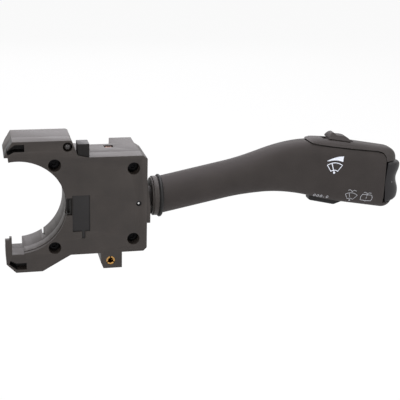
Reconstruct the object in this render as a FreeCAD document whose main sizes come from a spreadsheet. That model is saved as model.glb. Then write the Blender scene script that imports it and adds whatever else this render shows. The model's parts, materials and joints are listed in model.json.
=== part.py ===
# Combination stalk switch for the right side of a steering column.
# Units are millimetres. The origin is the centre of the column bore on the housing's front face.
# X runs along the lever, Y goes from the driver towards the column's far side, Z is up.
import FreeCAD, Part
import math
import os
import Sketcher

doc = FreeCAD.newDocument("stalk_switch")
sheet = doc.addObject("Spreadsheet::Sheet", "sizes")
Vector = FreeCAD.Vector
Rotation = FreeCAD.Rotation


class Size:
    """A number that also carries its formula in the sheet."""

    def __init__(self, number, formula):
        self.number = float(number)
        self.formula = formula

    def __add__(self, other):
        other = as_size(other)
        return Size(self.number + other.number, f"({self.formula} + {other.formula})")

    def __sub__(self, other):
        other = as_size(other)
        return Size(self.number - other.number, f"({self.formula} - {other.formula})")

    def __mul__(self, other):
        other = as_size(other)
        return Size(self.number * other.number, f"({self.formula} * {other.formula})")

    def __truediv__(self, other):
        other = as_size(other)
        return Size(self.number / other.number, f"({self.formula} / {other.formula})")

    def __neg__(self):
        return Size(-self.number, f"(0 - {self.formula})")

    def __radd__(self, other):
        return as_size(other) + self

    def __rsub__(self, other):
        return as_size(other) - self

    def __rmul__(self, other):
        return as_size(other) * self


def as_size(value):
    return value if isinstance(value, Size) else Size(value, f"({value})")


def root(value):
    return Size(math.sqrt(value.number), f"sqrt({value.formula})")


def sine(angle):
    return Size(math.sin(math.radians(angle.number)), f"sin({angle.formula} * 1 deg)")


def cosine(angle):
    return Size(math.cos(math.radians(angle.number)), f"cos({angle.formula} * 1 deg)")


def tangent(angle):
    return Size(math.tan(math.radians(angle.number)), f"tan({angle.formula} * 1 deg)")


class Sizes:
    """The driving dimensions, each kept in one named cell of the sheet."""

    def __init__(self):
        self.row = 0

    def add(self, name, value):
        self.row += 1
        sheet.set(f"A{self.row}", name.replace("_", " "))
        sheet.set(f"B{self.row}", str(value))
        sheet.setAlias(f"B{self.row}", name)
        setattr(self, name, Size(value, f"sizes.{name}"))


numbers = {
    # Column bore and the C-shaped housing around it.
    "bore_radius": 23.0, "housing_depth": 24.1, "cover_depth": 9.0, "block_depth": 36.0,
    "front_wall": 2.6, "rear_wall": 1.5, "overrun": 1.0,
    "body_top": 24.2, "body_bottom": -25.3, "body_right": 62.6, "body_left": 33.1,
    "upper_corner": 2.4, "lower_corner": 1.7,
    # Upper arm, from its root by the body to its tip beyond the bore.
    "arm_top": 32.8, "arm_right": 25.9, "arm_foot_x": 28.6, "arm_foot_z": 25.4, "arm_bevel": 6.5,
    "arm_tip_left": -6.0, "arm_tip_low": 25.2, "arm_tip_mid_x": -4.8, "arm_tip_mid_z": 28.0,
    "arm_bevel_left": -1.9, "arm_lip_x": -4.0,
    # Lower jaw with its notch and its thin hook.
    "jaw_bottom": -33.1, "jaw_right": 24.7, "jaw_heel": 10.8, "jaw_toe": -2.0, "jaw_left": -6.5,
    "jaw_left_low": -28.5, "jaw_depth": 15.5, "notch_floor": -23.6, "notch_right": 2.2,
    "hook_top": -15.8, "hook_left": -6.8, "hook_inner": -3.6, "hook_step": -4.7, "hook_tab": 1.1,
    "hook_depth": 2.5, "bore_lead": 0.3,
    # Lug under the body with its threaded insert.
    "lug_left": 39.6, "lug_right": 50.1, "lug_bottom": -33.5, "lug_bevel_x": 1.2, "lug_bevel_z": 3.0,
    "lug_depth": 15.0,
    "insert_x": 44.4, "insert_z": -29.5, "insert_radius": 2.25, "insert_bore": 1.35, "insert_length": 8.0,
    "insert_slit": 0.5, "insert_slit_depth": 3.2, "insert_sink": 0.2,
    # Angled slots in the front of the two arm ends.
    "slot_right": 3.6, "slot_outer": 31.4, "slot_inner": 27.9, "slot_bend_x": -0.9, "slot_elbow_x": -2.9,
    "slot_elbow_z": 29.8, "slot_tip_x": -4.8, "slot_tip_z": 28.2, "slot_low_x": -4.1, "slot_low_z": 26.4,
    "slot_turn_x": -1.3, "slot_shift_x": -0.5, "slot_shift_z": -0.3, "slot_depth": 6.0,
    # Four case screws in deep round wells.
    "well_radius": 3.1, "well_depth": 7.0, "screw_head_radius": 2.7, "screw_head": 2.4,
    "screw_shank": 1.4,
    "screw_length": 12.0, "screw_socket": 1.3, "screw_socket_depth": 1.2,
    "well_left_x": 17.6, "well_left_low_x": 17.0, "well_right_x": 55.8, "well_upper_left_z": 20.7,
    "well_upper_right_z": 17.8, "well_lower_left_z": -21.3, "well_lower_right_z": -18.6,
    # Cavity for the mechanism, with solid corners round the right-hand screws.
    "cavity_left": 33.5, "cavity_right": 60.4, "cavity_top": 21.5, "cavity_bottom": -22.6,
    "boss_left": 51.0, "boss_upper": 13.3, "boss_lower": -14.0,
    # Mouth that the lever passes through, with its low rim.
    "mouth_top": 12.8, "mouth_bottom": -9.8, "rim_top": 10.0, "rim_bottom": -10.9, "rim_edge": 0.8,
    "rim_low": 0.3, "rim_high": 1.8, "rim_bend": -2.0,
    # Rear block with the connector shroud.
    "block_left": 46.7, "block_right": 60.0, "block_bottom": -16.0, "block_taper": 1.9, "socket_floor": 1.9,
    "socket_left": 49.4, "socket_right": 58.2, "socket_bottom": -13.0, "socket_top": 21.0,
    "pin_half": 0.4, "pin_sink": 3.0, "pin_column_x": 51.7, "pin_column_step": 4.2, "pin_row_z": -9.5,
    "pin_row_step": 5.4,
    # Small pieces on and in the front face.
    "peg_x": 23.9, "peg_z": 29.6, "peg_well": 2.3, "peg_well_depth": 8.0, "peg_radius": 1.3,
    "peg_ball": 1.75,
    "cover_plate_left": 25.8, "cover_plate_right": 34.3, "cover_plate_top": 5.2,
    "cover_plate_bottom": -13.4,
    "cover_stem_left": 30.3, "cover_stem_right": 31.9, "cover_stem_bottom": -17.0,
    "cover_plate_recess": 1.3, "cover_plate_thick": 0.9,
    "catch_left": 23.15, "catch_right": 25.7, "catch_top": 4.0, "catch_bottom": -4.8, "catch_depth": 5.6,
    "catch_wall": 1.0, "catch_back": 1.2, "catch_sink": 0.8,
    "latch_left": 28.7, "latch_right": 34.3, "latch_front": 0.4, "latch_rear": 8.6, "latch_top": 30.8,
    "arm_corner": 1.2, "arm_corner_run": 1.6,
    "contact_slot_left": 43.8, "contact_slot_right": 48.4, "contact_slot_front": 17.6,
    "contact_slot_rear": 21.3,
    "contact_slot_depth": 2.4, "contact_blade": 0.6, "contact_margin": 0.7,
    "bore_slit_x": 12.3, "bore_slit_width": 0.9, "bore_slit_length": 10.0,
    # Lever pivot: two short pins for the sweep, one upright pin for the pull.
    "pivot_x": 58.4, "pivot_z": -0.3, "pivot_pin": 1.35, "pin_clearance": 0.05,
    "pivot_pin_sink": 0.3, "pivot_pin_seat": 1.2, "cross_pin": 1.5,
    # Gimbal yoke between the housing and the lever.
    "yoke_gap_front": 0.8, "yoke_gap_rear": 0.6, "yoke_cheek": 1.8, "yoke_right": 3.0, "yoke_hub": 3.2,
    "yoke_bridge_right": 2.0,
    "yoke_bridge_left": -3.6, "yoke_bridge_low": 5.8, "yoke_bridge_high": 8.0, "yoke_shoulder": -8.0,
    "crossbar_left": -13.2, "crossbar_right": -11.2, "crossbar_low": 1.9, "crossbar_high": 5.8,
    "pull_groove": 0.8, "pull_groove_half": 1.2,
    "detent_angle": 150.0, "detent_inset": 1.3, "barrel_radius": 1.8, "barrel_start": 9.8,
    "barrel_end": 14.0,
    "barrel_base": 0.6,
    "plunger_radius": 1.1, "plunger_reach": 16.9, "plunger_length": 4.6, "plunger_clearance": 0.08,
    "spring_wire": 0.24,
    "track_radius": 17.2, "track_outer": 19.6, "track_lead": 6.0, "track_tail": 6.0,
    "track_half": 1.6, "notch_radius": 0.9, "notch_lift": 0.22, "sweep_step": 6.0,
    # Lever root inside the yoke, with a finger and two balls that push the contact slides.
    "root_left": -8.0, "root_right": 4.2, "root_gap": 1.1, "root_half_height": 5.5,
    "root_bevel": 1.0,
    "neck_radius": 5.2, "finger_radius": 1.0, "ball_radius": 1.5, "sweep_ball": 16.0, "pull_ball": 20.2,
    "pull_plunger_z": 3.3, "pull_plunger_bottom": -2.2, "pull_plunger_start": -5.0,
    "pull_plunger_tip": -10.9,
    "spigot_end": 92.0, "spigot_wall": 1.6, "spigot_clearance": 0.1, "wire_bore": 2.4,
    "wire_bore_start": 5.5,
    # Collar and sealing ring behind the handle.
    "collar_left": 7.7, "collar_lip": 0.8, "collar_lip_radius": 9.3, "collar_radius": 10.0,
    "collar_width": 3.4,
    "seal_seat_radius": 9.1, "seal_radius": 0.85, "seal_gap": 0.1, "seal_bevel": 0.5,
    # Handle: round tube, bend and flat head.
    "tube_start": 71.4, "tube_radius": 9.5, "tube_rise": 13.2, "tube_lean": 5.0, "tube_start_z": 0.2,
    "bend_start": 122.0, "bend_end": 150.0, "head_fall": 9.6, "morph_start": 104.0, "morph_end": 164.0,
    "head_half_height": 15.6, "head_half_thickness": 7.7, "head_squareness": 4.0, "handle_wall": 2.0,
    "handle_end": 195.7, "nose_start": 186.0, "top_corner": 6.0, "under_corner": 5.5, "hollow_end": 188.2,
    "nose_margin": 0.05, "tool_reach": 80.0,
    # Trim strip along the head's top, with the slot for the slide knob.
    "strip_tip": 144.0, "strip_full": 157.0, "strip_drop": 2.5, "strip_lead": 0.3, "strip_proud": 1.4,
    "strip_corner_x": 183.0,
    "strip_foot_x": 187.6, "strip_foot_z": 17.0,
    "knob_x": 162.5, "knob_length": 12.6, "knob_travel": 1.9, "knob_gap": 0.3, "knob_slot_half": 2.6,
    "knob_half_width": 4.3, "knob_float": 0.6, "knob_flange_top": 3.1,
    "knob_tail_x": 5.4, "knob_tail_z": 1.0, "knob_back_x": 3.2, "knob_back_z": 1.9, "knob_crest_x": 0.6,
    "knob_crest_z": 2.2,
    "knob_waist_x": -2.5, "knob_waist_z": 2.0, "knob_step_x": -3.5, "knob_step_z": 3.0,
    "knob_peak_x": -4.4,
    "knob_peak_z": 3.2, "knob_brow_x": -6.0, "knob_brow_z": 2.2,
    "knob_flange": 0.9, "knob_flange_half": 3.5, "knob_flange_end": 1.5, "knob_fin_bottom": 8.6,
    "knob_fin": 0.6, "knob_fin_half": 2.4,
    "brush_clearance": 0.4, "brush_blade": 0.15, "brush_half": 1.8, "brush_height": 1.2,
    # Reset key under the head.
    "key_x": 157.6, "key_length": 18.0, "key_half_width": 3.4, "key_proud": 1.8, "key_gap": 0.3,
    "key_bevel_left": 0.9, "key_bevel_right": 3.7,
    "key_edge": 0.2, "key_inside": 4.1, "key_flange": 0.9, "key_flange_edge": 0.6,
    "key_flange_side": 0.45,
    # Rocker in the head's end, on a cross pin.
    "rocker_pivot_x": 191.4, "rocker_pivot_z": 5.05, "rocker_pin": 1.2, "rocker_left": 188.4,
    "rocker_ends_left": 189.3,
    "rocker_top": 15.6, "rocker_bottom": -5.5, "rocker_right": 198.3, "rocker_round": 3.0,
    "rocker_hollow": 12.0,
    "rocker_dip": 1.7, "rocker_wall": 1.7, "rocker_gap": 0.6, "rocker_reach": 198.3,
    "rocker_pin_half": 6.1, "rocker_room": 5.2,
    "rocker_window_left": 187.9,
    # Carrier, printed board and switches in the head.
    "board_left": 150.0, "board_right": 183.0, "board_half": 8.6, "board_front": 0.9, "board_thick": 1.2,
    "carrier_thick": 1.6, "ear_half_height": 2.6, "ear_inner": 3.0, "ear_outer": 4.7, "ear_right": 193.2,
    "switch_side": 3.4, "switch_depth": 2.6, "switch_nib": 0.7, "switch_nib_radius": 0.8,
    "key_switch_low": 7.9,
    "rocker_switch_x": 181.0, "rocker_switch_z": 6.0, "leg_tip": 185.8, "leg_half": 1.1,
    "leg_front": -2.0, "leg_rear": 0.4,
    "key_stem": 1.2, "key_stem_top": 6.2, "web_left": 184.0, "web_right": 185.6, "room_right": 193.9,
    # Wires inside the handle.
    "wire_radius": 1.5, "wire_start": 64.4, "wire_free": 74.4, "wire_turn_first": 83.0,
    "wire_turn_second": 99.0, "wire_turn_last": 137.0,
    "wire_sag": 1.2, "wire_gap": 0.1, "wire_bend_share": 0.45,
    # Contact board, slides and contacts in the housing.
    "track_plate": 1.4, "plate_margin": 0.3, "plate_hole": 2.2, "strip_thick": 0.15, "strip_width": 0.5,
    "strip_top": 8.0, "strip_bottom": -12.0, "strip_first": 0.25, "strip_step": 0.85, "strip_row": 1.0,
    "strip_end": 0.9,
    "slide_left": -17.2, "slide_right": -14.8, "slide_fork": 0.15, "slide_front": -3.4, "slide_gap": 0.15,
    "slide_web": 3.4, "slide_prong": 1.4, "slide_carrier_half": 6.0, "brush_thick": 0.5,
    "wash_left": -21.3, "wash_right": -19.1, "wash_prong": 1.3, "wash_top": 4.2, "wash_slot_low": -8.2,
    "wash_foot_low": -11.5, "wash_foot_half": 4.5, "shelf_gap": 0.3, "shelf_thick": 2.0,
    "shelf_right": -17.5,
    "leaf_thick": 0.3, "leaf_reach": 2.2, "leaf_lift": 0.6, "leaf_step": 1.2,
    "post_gap": 0.9, "post_left": -20.0, "post_right": -17.5, "post_low": -7.6, "post_high": 12.0,
}
s = Sizes()
for size_name, size_value in numbers.items():
    s.add(size_name, size_value)
doc.recompute()

pieces = []
zero = as_size(0)


def plane_of(body, role):
    return next(item for item in body.Origin.OriginFeatures if item.Role == role)


def new_body(label, place=None, tilt=None):
    """A body of its own, optionally moved to a named place and tilted about Y."""
    body = doc.addObject("PartDesign::Body", label)
    body.Label = label
    if tilt is not None:
        body.Placement = FreeCAD.Placement(Vector(), Rotation(Vector(0, 1, 0), tilt.number))
        body.setExpression("Placement.Rotation.Angle", tilt.formula)
    if place is not None:
        for axis, value in zip("xyz", place):
            body.setExpression(f"Placement.Base.{axis}", as_size(value).formula)
    return body


def keep(item, label=None):
    """Marks an object as a finished piece, under its own name."""
    if label:
        item.Label = label
    pieces.append(item)
    return item


def new_sketch(body, name, role, level):
    """A sketch on the body's own plane, moved along that plane's normal to a level."""
    sketch = body.newObject("Sketcher::SketchObject", name)
    sketch.AttachmentSupport = [(plane_of(body, role), "")]
    sketch.MapMode = "FlatFace"
    level = as_size(level)
    offset = -level if role == "XZ_Plane" else level
    sketch.setExpression("AttachmentOffset.Base.z", offset.formula)
    return sketch


def hold(sketch, kind, shape, point, value):
    """Fixes one coordinate of a sketched point to its formula."""
    number = sketch.addConstraint(Sketcher.Constraint(kind, -1, 1, shape, point, value.number))
    sketch.setExpression(f"Constraints[{number}]", value.formula)


def draw_outline(sketch, corners, arcs=None):
    """A closed outline. arcs maps an edge number to its centre, radius and whether it turns left."""
    arcs = arcs or {}
    corners = [(as_size(x), as_size(y)) for x, y in corners]
    points = [Vector(x.number, y.number, 0) for x, y in corners]
    count = len(points)
    base = sketch.GeometryCount
    ends = []
    for edge, start in enumerate(points):
        end = points[(edge + 1) % count]
        if edge in arcs:
            centre, radius, left = arcs[edge]
            middle = Vector(as_size(centre[0]).number, as_size(centre[1]).number, 0)
            first, last = (start, end) if left else (end, start)
            angles = [math.atan2((p - middle).y, (p - middle).x) for p in (first, last)]
            circle = Part.Circle(middle, Vector(0, 0, 1), radius.number)
            sketch.addGeometry(Part.ArcOfCircle(circle, angles[0], angles[1]), False)
            ends.append((1, 2) if left else (2, 1))
        else:
            sketch.addGeometry(Part.LineSegment(start, end), False)
            ends.append((1, 2))
    for edge in range(count):
        following = (edge + 1) % count
        pair = (base + edge, ends[edge][1], base + following, ends[following][0])
        sketch.addConstraint(Sketcher.Constraint("Coincident", *pair))
    for edge, (x, y) in enumerate(corners):
        hold(sketch, "DistanceX", base + edge, ends[edge][0], x)
        hold(sketch, "DistanceY", base + edge, ends[edge][0], y)
    for edge, (centre, radius, left) in arcs.items():
        number = sketch.addConstraint(Sketcher.Constraint("Radius", base + edge, radius.number))
        sketch.setExpression(f"Constraints[{number}]", radius.formula)


def draw_circle(sketch, x, y, radius):
    x, y, radius = as_size(x), as_size(y), as_size(radius)
    circle = Part.Circle(Vector(x.number, y.number, 0), Vector(0, 0, 1), radius.number)
    shape = sketch.addGeometry(circle, False)
    number = sketch.addConstraint(Sketcher.Constraint("Radius", shape, radius.number))
    sketch.setExpression(f"Constraints[{number}]", radius.formula)
    hold(sketch, "DistanceX", shape, 3, x)
    hold(sketch, "DistanceY", shape, 3, y)


def extrude(kind, body, name, role, level, length, corners=None, arcs=None, circles=(), loops=()):
    """A pad or pocket that runs from a level in the positive direction of its axis."""
    sketch = new_sketch(body, name + "_sketch", role, level)
    if corners:
        draw_outline(sketch, corners, arcs)
    for loop in loops:
        draw_outline(sketch, loop)
    for circle in circles:
        draw_circle(sketch, *circle)
    feature = body.newObject("PartDesign::" + kind, name)
    feature.Profile = sketch
    feature.setExpression("Length", as_size(length).formula)
    feature.Reversed = (kind == "Pad") == (role == "XZ_Plane")
    body.Tip = feature
    return feature


def pad(body, name, role, level, length, corners=None, arcs=None, circles=(), loops=()):
    return extrude("Pad", body, name, role, level, length, corners, arcs, circles, loops)


def pocket(body, name, role, level, length, corners=None, arcs=None, circles=(), loops=()):
    return extrude("Pocket", body, name, role, level, length, corners, arcs, circles, loops)


def rectangle(left, right, low, high):
    return [(left, low), (right, low), (right, high), (left, high)]


def soften(body, name, size, wanted, kind="Fillet"):
    """Rounds or bevels the edges of the body so far that the test picks out."""
    doc.recompute()
    base = body.Tip
    names = [f"Edge{number + 1}" for number, edge in enumerate(base.Shape.Edges) if wanted(edge)]
    feature = body.newObject("PartDesign::" + kind, name)
    feature.Base = (base, names)
    feature.setExpression("Radius" if kind == "Fillet" else "Size", size.formula)
    body.Tip = feature


def edge_at(edge, axis, **place):
    """True for a straight edge along an axis whose middle lies at the given coordinates."""
    if len(edge.Vertexes) < 2 or edge.Curve.TypeId != "Part::GeomLine":
        return False
    along = getattr(edge.tangentAt(edge.FirstParameter), axis)
    middle = edge.BoundBox.Center
    near = 0.02
    return abs(along) > 0.99 and all(abs(getattr(middle, k) - v) < near for k, v in place.items())


def box(name, low, high):
    """A box between two corners, each given as three sizes."""
    item = doc.addObject("Part::Box", name)
    for axis, side, first, last in zip("xyz", ("Length", "Width", "Height"), low, high):
        item.setExpression(f"Placement.Base.{axis}", as_size(first).formula)
        item.setExpression(side, (as_size(last) - as_size(first)).formula)
    return item


def rod(name, foot, axis, radius, length):
    """A round rod from its foot along an axis."""
    item = doc.addObject("Part::Cylinder", name)
    item.Placement = FreeCAD.Placement(Vector(), Rotation(Vector(0, 0, 1), Vector(*axis)))
    for letter, value in zip("xyz", foot):
        item.setExpression(f"Placement.Base.{letter}", as_size(value).formula)
    item.setExpression("Radius", as_size(radius).formula)
    item.setExpression("Height", as_size(length).formula)
    return item


def ball(name, centre, radius):
    item = doc.addObject("Part::Sphere", name)
    for letter, value in zip("xyz", centre):
        item.setExpression(f"Placement.Base.{letter}", as_size(value).formula)
    item.setExpression("Radius", as_size(radius).formula)
    return item


def fuse(name, *items):
    joined = doc.addObject("Part::MultiFuse", name)
    joined.Shapes = list(items)
    return joined


def cut(name, base, *tools):
    tool = tools[0] if len(tools) == 1 else fuse(name + "_tools", *tools)
    result = doc.addObject("Part::Cut", name)
    result.Base = base
    result.Tool = tool
    return result


def common(name, first, second):
    result = doc.addObject("Part::Common", name)
    result.Base = first
    result.Tool = second
    return result


def group(name, items):
    """Separate solids of one kind that share a node."""
    result = doc.addObject("Part::Compound", name)
    result.Links = list(items)
    return result


def feature(name, shape):
    item = doc.addObject("Part::Feature", name)
    item.Shape = shape
    return item


# Housing. Both mouldings share one C-shaped outline: an upper arm, a body and a lower jaw
# round the column bore. The front cover is the shallow half, the rear shell the deep one.
def chord(radius, x):
    """How far a circle round the bore's axis reaches up at a place across it."""
    return root(radius * radius - x * x)


bore_end_z = chord(s.bore_radius, s.arm_lip_x)
bore_start_z = -chord(s.bore_radius, s.notch_right)
hook_corners = [
    (s.hook_left, s.hook_top), (s.hook_step, s.hook_top), (s.hook_step, s.hook_top + s.hook_tab),
    (s.hook_inner, s.hook_top + s.hook_tab), (s.hook_inner, s.notch_floor),
]


def housing_outline(inner_corners):
    """The C outline, counter-clockwise from the toe of the jaw. Returns corners and the bore arc."""
    corners = [
        (s.notch_right, s.notch_floor), (s.notch_right, bore_start_z), (s.arm_lip_x, bore_end_z),
        (s.arm_lip_x, s.arm_tip_low), (s.arm_tip_left, s.arm_tip_low),
        (s.arm_tip_mid_x, s.arm_tip_mid_z), (s.arm_bevel_left, s.arm_top), (s.arm_right, s.arm_top),
        (s.arm_foot_x, s.arm_foot_z), (s.body_left, s.body_top),
        (s.body_right - s.upper_corner, s.body_top), (s.body_right, s.body_top - s.lower_corner),
        (s.body_right, s.body_bottom + s.lower_corner), (s.body_right - s.lower_corner, s.body_bottom),
        (s.lug_right, s.body_bottom), (s.lug_right, s.lug_bottom),
        (s.lug_left + s.lug_bevel_x, s.lug_bottom), (s.lug_left, s.lug_bottom + s.lug_bevel_z),
        (s.lug_left, s.body_bottom), (s.jaw_right, s.body_bottom), (s.jaw_heel, s.jaw_bottom),
        (s.jaw_toe, s.jaw_bottom), (s.jaw_left, s.jaw_left_low),
    ] + inner_corners
    return corners, {1: ((zero, zero), s.bore_radius, True)}


cavity_corners = [
    (s.cavity_left, s.cavity_bottom), (s.boss_left, s.cavity_bottom), (s.boss_left, s.boss_lower),
    (s.cavity_right, s.boss_lower), (s.cavity_right, s.boss_upper), (s.boss_left, s.boss_upper),
    (s.boss_left, s.cavity_top), (s.cavity_left, s.cavity_top),
]
wells = [
    (s.well_left_x, s.well_upper_left_z), (s.well_right_x, s.well_upper_right_z),
    (s.well_left_low_x, s.well_lower_left_z), (s.well_right_x, s.well_lower_right_z),
]
rim_corners = [
    (s.body_right - s.rim_low, s.rim_bottom), (s.body_right + s.rim_high, s.rim_bottom),
    (s.body_right + s.rim_high, s.rim_bend), (s.body_right + s.rim_low, s.rim_top),
    (s.body_right - s.rim_low, s.rim_top),
]
rear_floor = s.housing_depth - s.rear_wall
plate_front = rear_floor - s.track_plate
mouth_rear = plate_front + s.plate_margin
half_yoke = (plate_front - s.yoke_gap_rear - s.front_wall - s.yoke_gap_front) / 2
pivot_y = s.front_wall + s.yoke_gap_front + half_yoke
yoke_inner = half_yoke - s.yoke_cheek
root_half_width = yoke_inner - s.root_gap
socket_front = s.housing_depth + s.socket_floor
pin_end = s.block_depth - s.pin_sink
slide_rear = plate_front - s.strip_thick - s.slide_gap - s.brush_thick - pivot_y
slide_carrier_front = slide_rear - s.slide_web


def angled_slot(side, shift_x, shift_z):
    """The bent slot near an arm's end, for the upper arm (side 1) or the lower jaw (side -1)."""
    corners = [
        (s.slot_tip_x, s.slot_tip_z), (s.slot_low_x, s.slot_low_z), (s.slot_turn_x, s.slot_inner),
        (s.slot_right, s.slot_inner), (s.slot_right, s.slot_outer), (s.slot_bend_x, s.slot_outer),
        (s.slot_elbow_x, s.slot_elbow_z),
    ]
    return [(x + shift_x, z * side + shift_z) for x, z in corners]


def along_y(edge, x, z):
    """True for an edge along Y at a place in the front view."""
    return edge_at(edge, "y", x=x.number, z=z.number)


cover = keep(new_body("front_cover"))
corners, arcs = housing_outline(hook_corners)
pad(cover, "cover_slab", "XZ_Plane", 0, s.cover_depth, corners, arcs)
soften(cover, "cover_corners", s.arm_corner, lambda edge: along_y(edge, s.arm_right, s.arm_top))
pad(cover, "cover_rim", "XZ_Plane", s.rim_edge, s.cover_depth - s.rim_edge, rim_corners)
pocket(cover, "hook_relief", "XZ_Plane", s.hook_depth, s.cover_depth, rectangle(
    s.hook_left - s.overrun, s.notch_right, s.notch_floor, s.hook_top + s.hook_tab + s.overrun))
lead_radius = s.bore_radius + s.bore_lead
lead_inside = s.bore_radius - s.overrun
pocket(cover, "bore_lead", "XZ_Plane", 0, s.hook_depth, [
    (s.notch_right, -chord(lead_radius, s.notch_right)), (s.arm_lip_x, chord(lead_radius, s.arm_lip_x)),
    (s.arm_lip_x, chord(lead_inside, s.arm_lip_x)), (s.notch_right, -chord(lead_inside, s.notch_right))], {
        0: ((zero, zero), lead_radius, True), 2: ((zero, zero), lead_inside, False)})
pocket(cover, "cover_cavity", "XZ_Plane", s.front_wall, s.cover_depth, cavity_corners)
pocket(cover, "cover_mouth", "XZ_Plane", s.front_wall, s.cover_depth, rectangle(
    s.cavity_right - s.overrun, s.body_right + s.rim_high + s.overrun, s.mouth_bottom, s.mouth_top))
pocket(cover, "upper_slot", "XZ_Plane", 0, s.slot_depth, angled_slot(1, zero, zero))
pocket(cover, "lower_slot", "XZ_Plane", 0, s.slot_depth, angled_slot(-1, s.slot_shift_x, s.slot_shift_z))
pocket(cover, "screw_wells", "XZ_Plane", 0, s.well_depth, circles=[(x, z, s.well_radius) for x, z in wells])
pocket(cover, "screw_holes", "XZ_Plane", 0, s.cover_depth,
       circles=[(x, z, s.screw_shank) for x, z in wells])
pocket(cover, "peg_well", "XZ_Plane", 0, s.peg_well_depth, circles=[(s.peg_x, s.peg_z, s.peg_well)])
pocket(cover, "pivot_hole", "XZ_Plane", 0, s.front_wall, circles=[(s.pivot_x, s.pivot_z, s.pivot_pin)])
pocket(cover, "insert_hole", "XZ_Plane", 0, s.insert_length + s.insert_sink,
       circles=[(s.insert_x, s.insert_z, s.insert_radius)])
pocket(cover, "catch_recess", "XZ_Plane", 0, s.catch_depth,
       rectangle(0, s.catch_right, s.catch_bottom, s.catch_top))
plate_corners = [
    (s.cover_plate_left, s.cover_plate_bottom), (s.cover_stem_left, s.cover_plate_bottom),
    (s.cover_stem_left, s.cover_stem_bottom), (s.cover_stem_right, s.cover_stem_bottom),
    (s.cover_stem_right, s.cover_plate_bottom), (s.cover_plate_right, s.cover_plate_bottom),
    (s.cover_plate_right, s.cover_plate_top), (s.cover_plate_left, s.cover_plate_top),
]
pocket(cover, "plate_recess", "XZ_Plane", 0, s.cover_plate_recess, plate_corners)

shell = keep(new_body("rear_shell"))
corners, arcs = housing_outline([(s.jaw_left, s.notch_floor)])
pad(shell, "shell_slab", "XZ_Plane", s.cover_depth, s.housing_depth - s.cover_depth, corners, arcs)
pad(shell, "shell_rim", "XZ_Plane", s.cover_depth, mouth_rear + s.front_wall - s.cover_depth, rim_corners)
pocket(shell, "shell_cavity", "XZ_Plane", s.cover_depth, rear_floor - s.cover_depth, cavity_corners)
pocket(shell, "shell_mouth", "XZ_Plane", s.cover_depth, mouth_rear - s.cover_depth, rectangle(
    s.cavity_right - s.overrun, s.body_right + s.rim_high + s.overrun, s.mouth_bottom, s.mouth_top))
pocket(shell, "jaw_step", "XZ_Plane", s.jaw_depth, s.housing_depth, rectangle(
    s.jaw_left - s.overrun, s.notch_right, s.jaw_bottom - s.overrun, s.arm_lip_x))
pocket(shell, "lug_step", "XZ_Plane", s.lug_depth, s.housing_depth, rectangle(
    s.lug_left - s.overrun, s.lug_right + s.overrun, s.lug_bottom - s.overrun, s.body_bottom))
pocket(shell, "arm_corner", "XY_Plane", s.body_top + s.overrun, s.arm_top, [
    (s.arm_right - s.arm_corner_run, s.housing_depth + s.overrun),
    (s.arm_foot_x + s.overrun, s.housing_depth - s.arm_bevel),
    (s.arm_foot_x + s.overrun, s.housing_depth + s.overrun)])
pad(shell, "connector_block", "XY_Plane", s.block_bottom, s.body_top - s.block_bottom, [
    (s.block_left, s.housing_depth - s.rear_wall / 2), (s.block_right, s.housing_depth - s.rear_wall / 2),
    (s.block_right, s.block_depth), (s.block_left + s.block_taper, s.block_depth)])
pocket(shell, "connector_socket", "XZ_Plane", socket_front, s.block_depth - socket_front, rectangle(
    s.socket_left, s.socket_right, s.socket_bottom, s.socket_top))
pin_places = [(s.pin_column_x + s.pin_column_step * column, s.pin_row_z + s.pin_row_step * row)
              for column in range(2) for row in range(6)]


def pin_section(x, z):
    """The square outline of a contact pin, and of the hole that it is pressed into."""
    return rectangle(x - s.pin_half, x + s.pin_half, z - s.pin_half, z + s.pin_half)


pocket(shell, "terminal_holes", "XZ_Plane", s.cover_depth, s.block_depth - s.cover_depth,
       loops=[pin_section(x, z) for x, z in pin_places])
pocket(shell, "pivot_socket", "XZ_Plane", rear_floor - s.overrun, s.pivot_pin_seat + s.overrun,
       circles=[(s.pivot_x, s.pivot_z, s.pivot_pin)])
pocket(shell, "shell_screw_holes", "XZ_Plane", s.cover_depth, s.well_depth + s.screw_length - s.cover_depth,
       circles=[(x, z, s.screw_shank) for x, z in wells])
pocket(shell, "contact_slot", "XY_Plane", s.body_top - s.contact_slot_depth, s.contact_slot_depth, rectangle(
    s.contact_slot_left, s.contact_slot_right, s.contact_slot_front, s.contact_slot_rear))
pocket(shell, "bore_slit", "XZ_Plane", s.housing_depth - s.bore_slit_length, s.bore_slit_length, rectangle(
    s.bore_slit_x, s.bore_slit_x + s.bore_slit_width, bore_start_z + s.hook_tab, -s.bore_radius / 2))
shelf_top = s.pivot_z + s.wash_foot_low - s.shelf_gap
pad(shell, "slide_shelf", "XZ_Plane", s.cover_depth, plate_front - s.pin_clearance - s.cover_depth, rectangle(
    s.cavity_left - s.overrun, s.pivot_x + s.shelf_right, shelf_top - s.shelf_thick, shelf_top))

# Small pieces on the housing's front face and in the bore's edge.
plate = keep(new_body("slot_cover"))
pad(plate, "plate", "XZ_Plane", s.cover_plate_recess - s.cover_plate_thick, s.cover_plate_thick,
    plate_corners)

catch = keep(new_body("bore_catch"))
pad(catch, "catch_frame", "XZ_Plane", s.catch_sink, s.catch_depth - s.catch_sink,
    rectangle(s.catch_left, s.catch_right, s.catch_bottom, s.catch_top))
pocket(catch, "catch_opening", "XZ_Plane", s.catch_sink,
    s.catch_depth - s.catch_sink - s.catch_back, rectangle(
    s.catch_left - s.overrun, s.catch_right - s.catch_wall,
    s.catch_bottom + s.catch_wall, s.catch_top - s.catch_wall))

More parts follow.
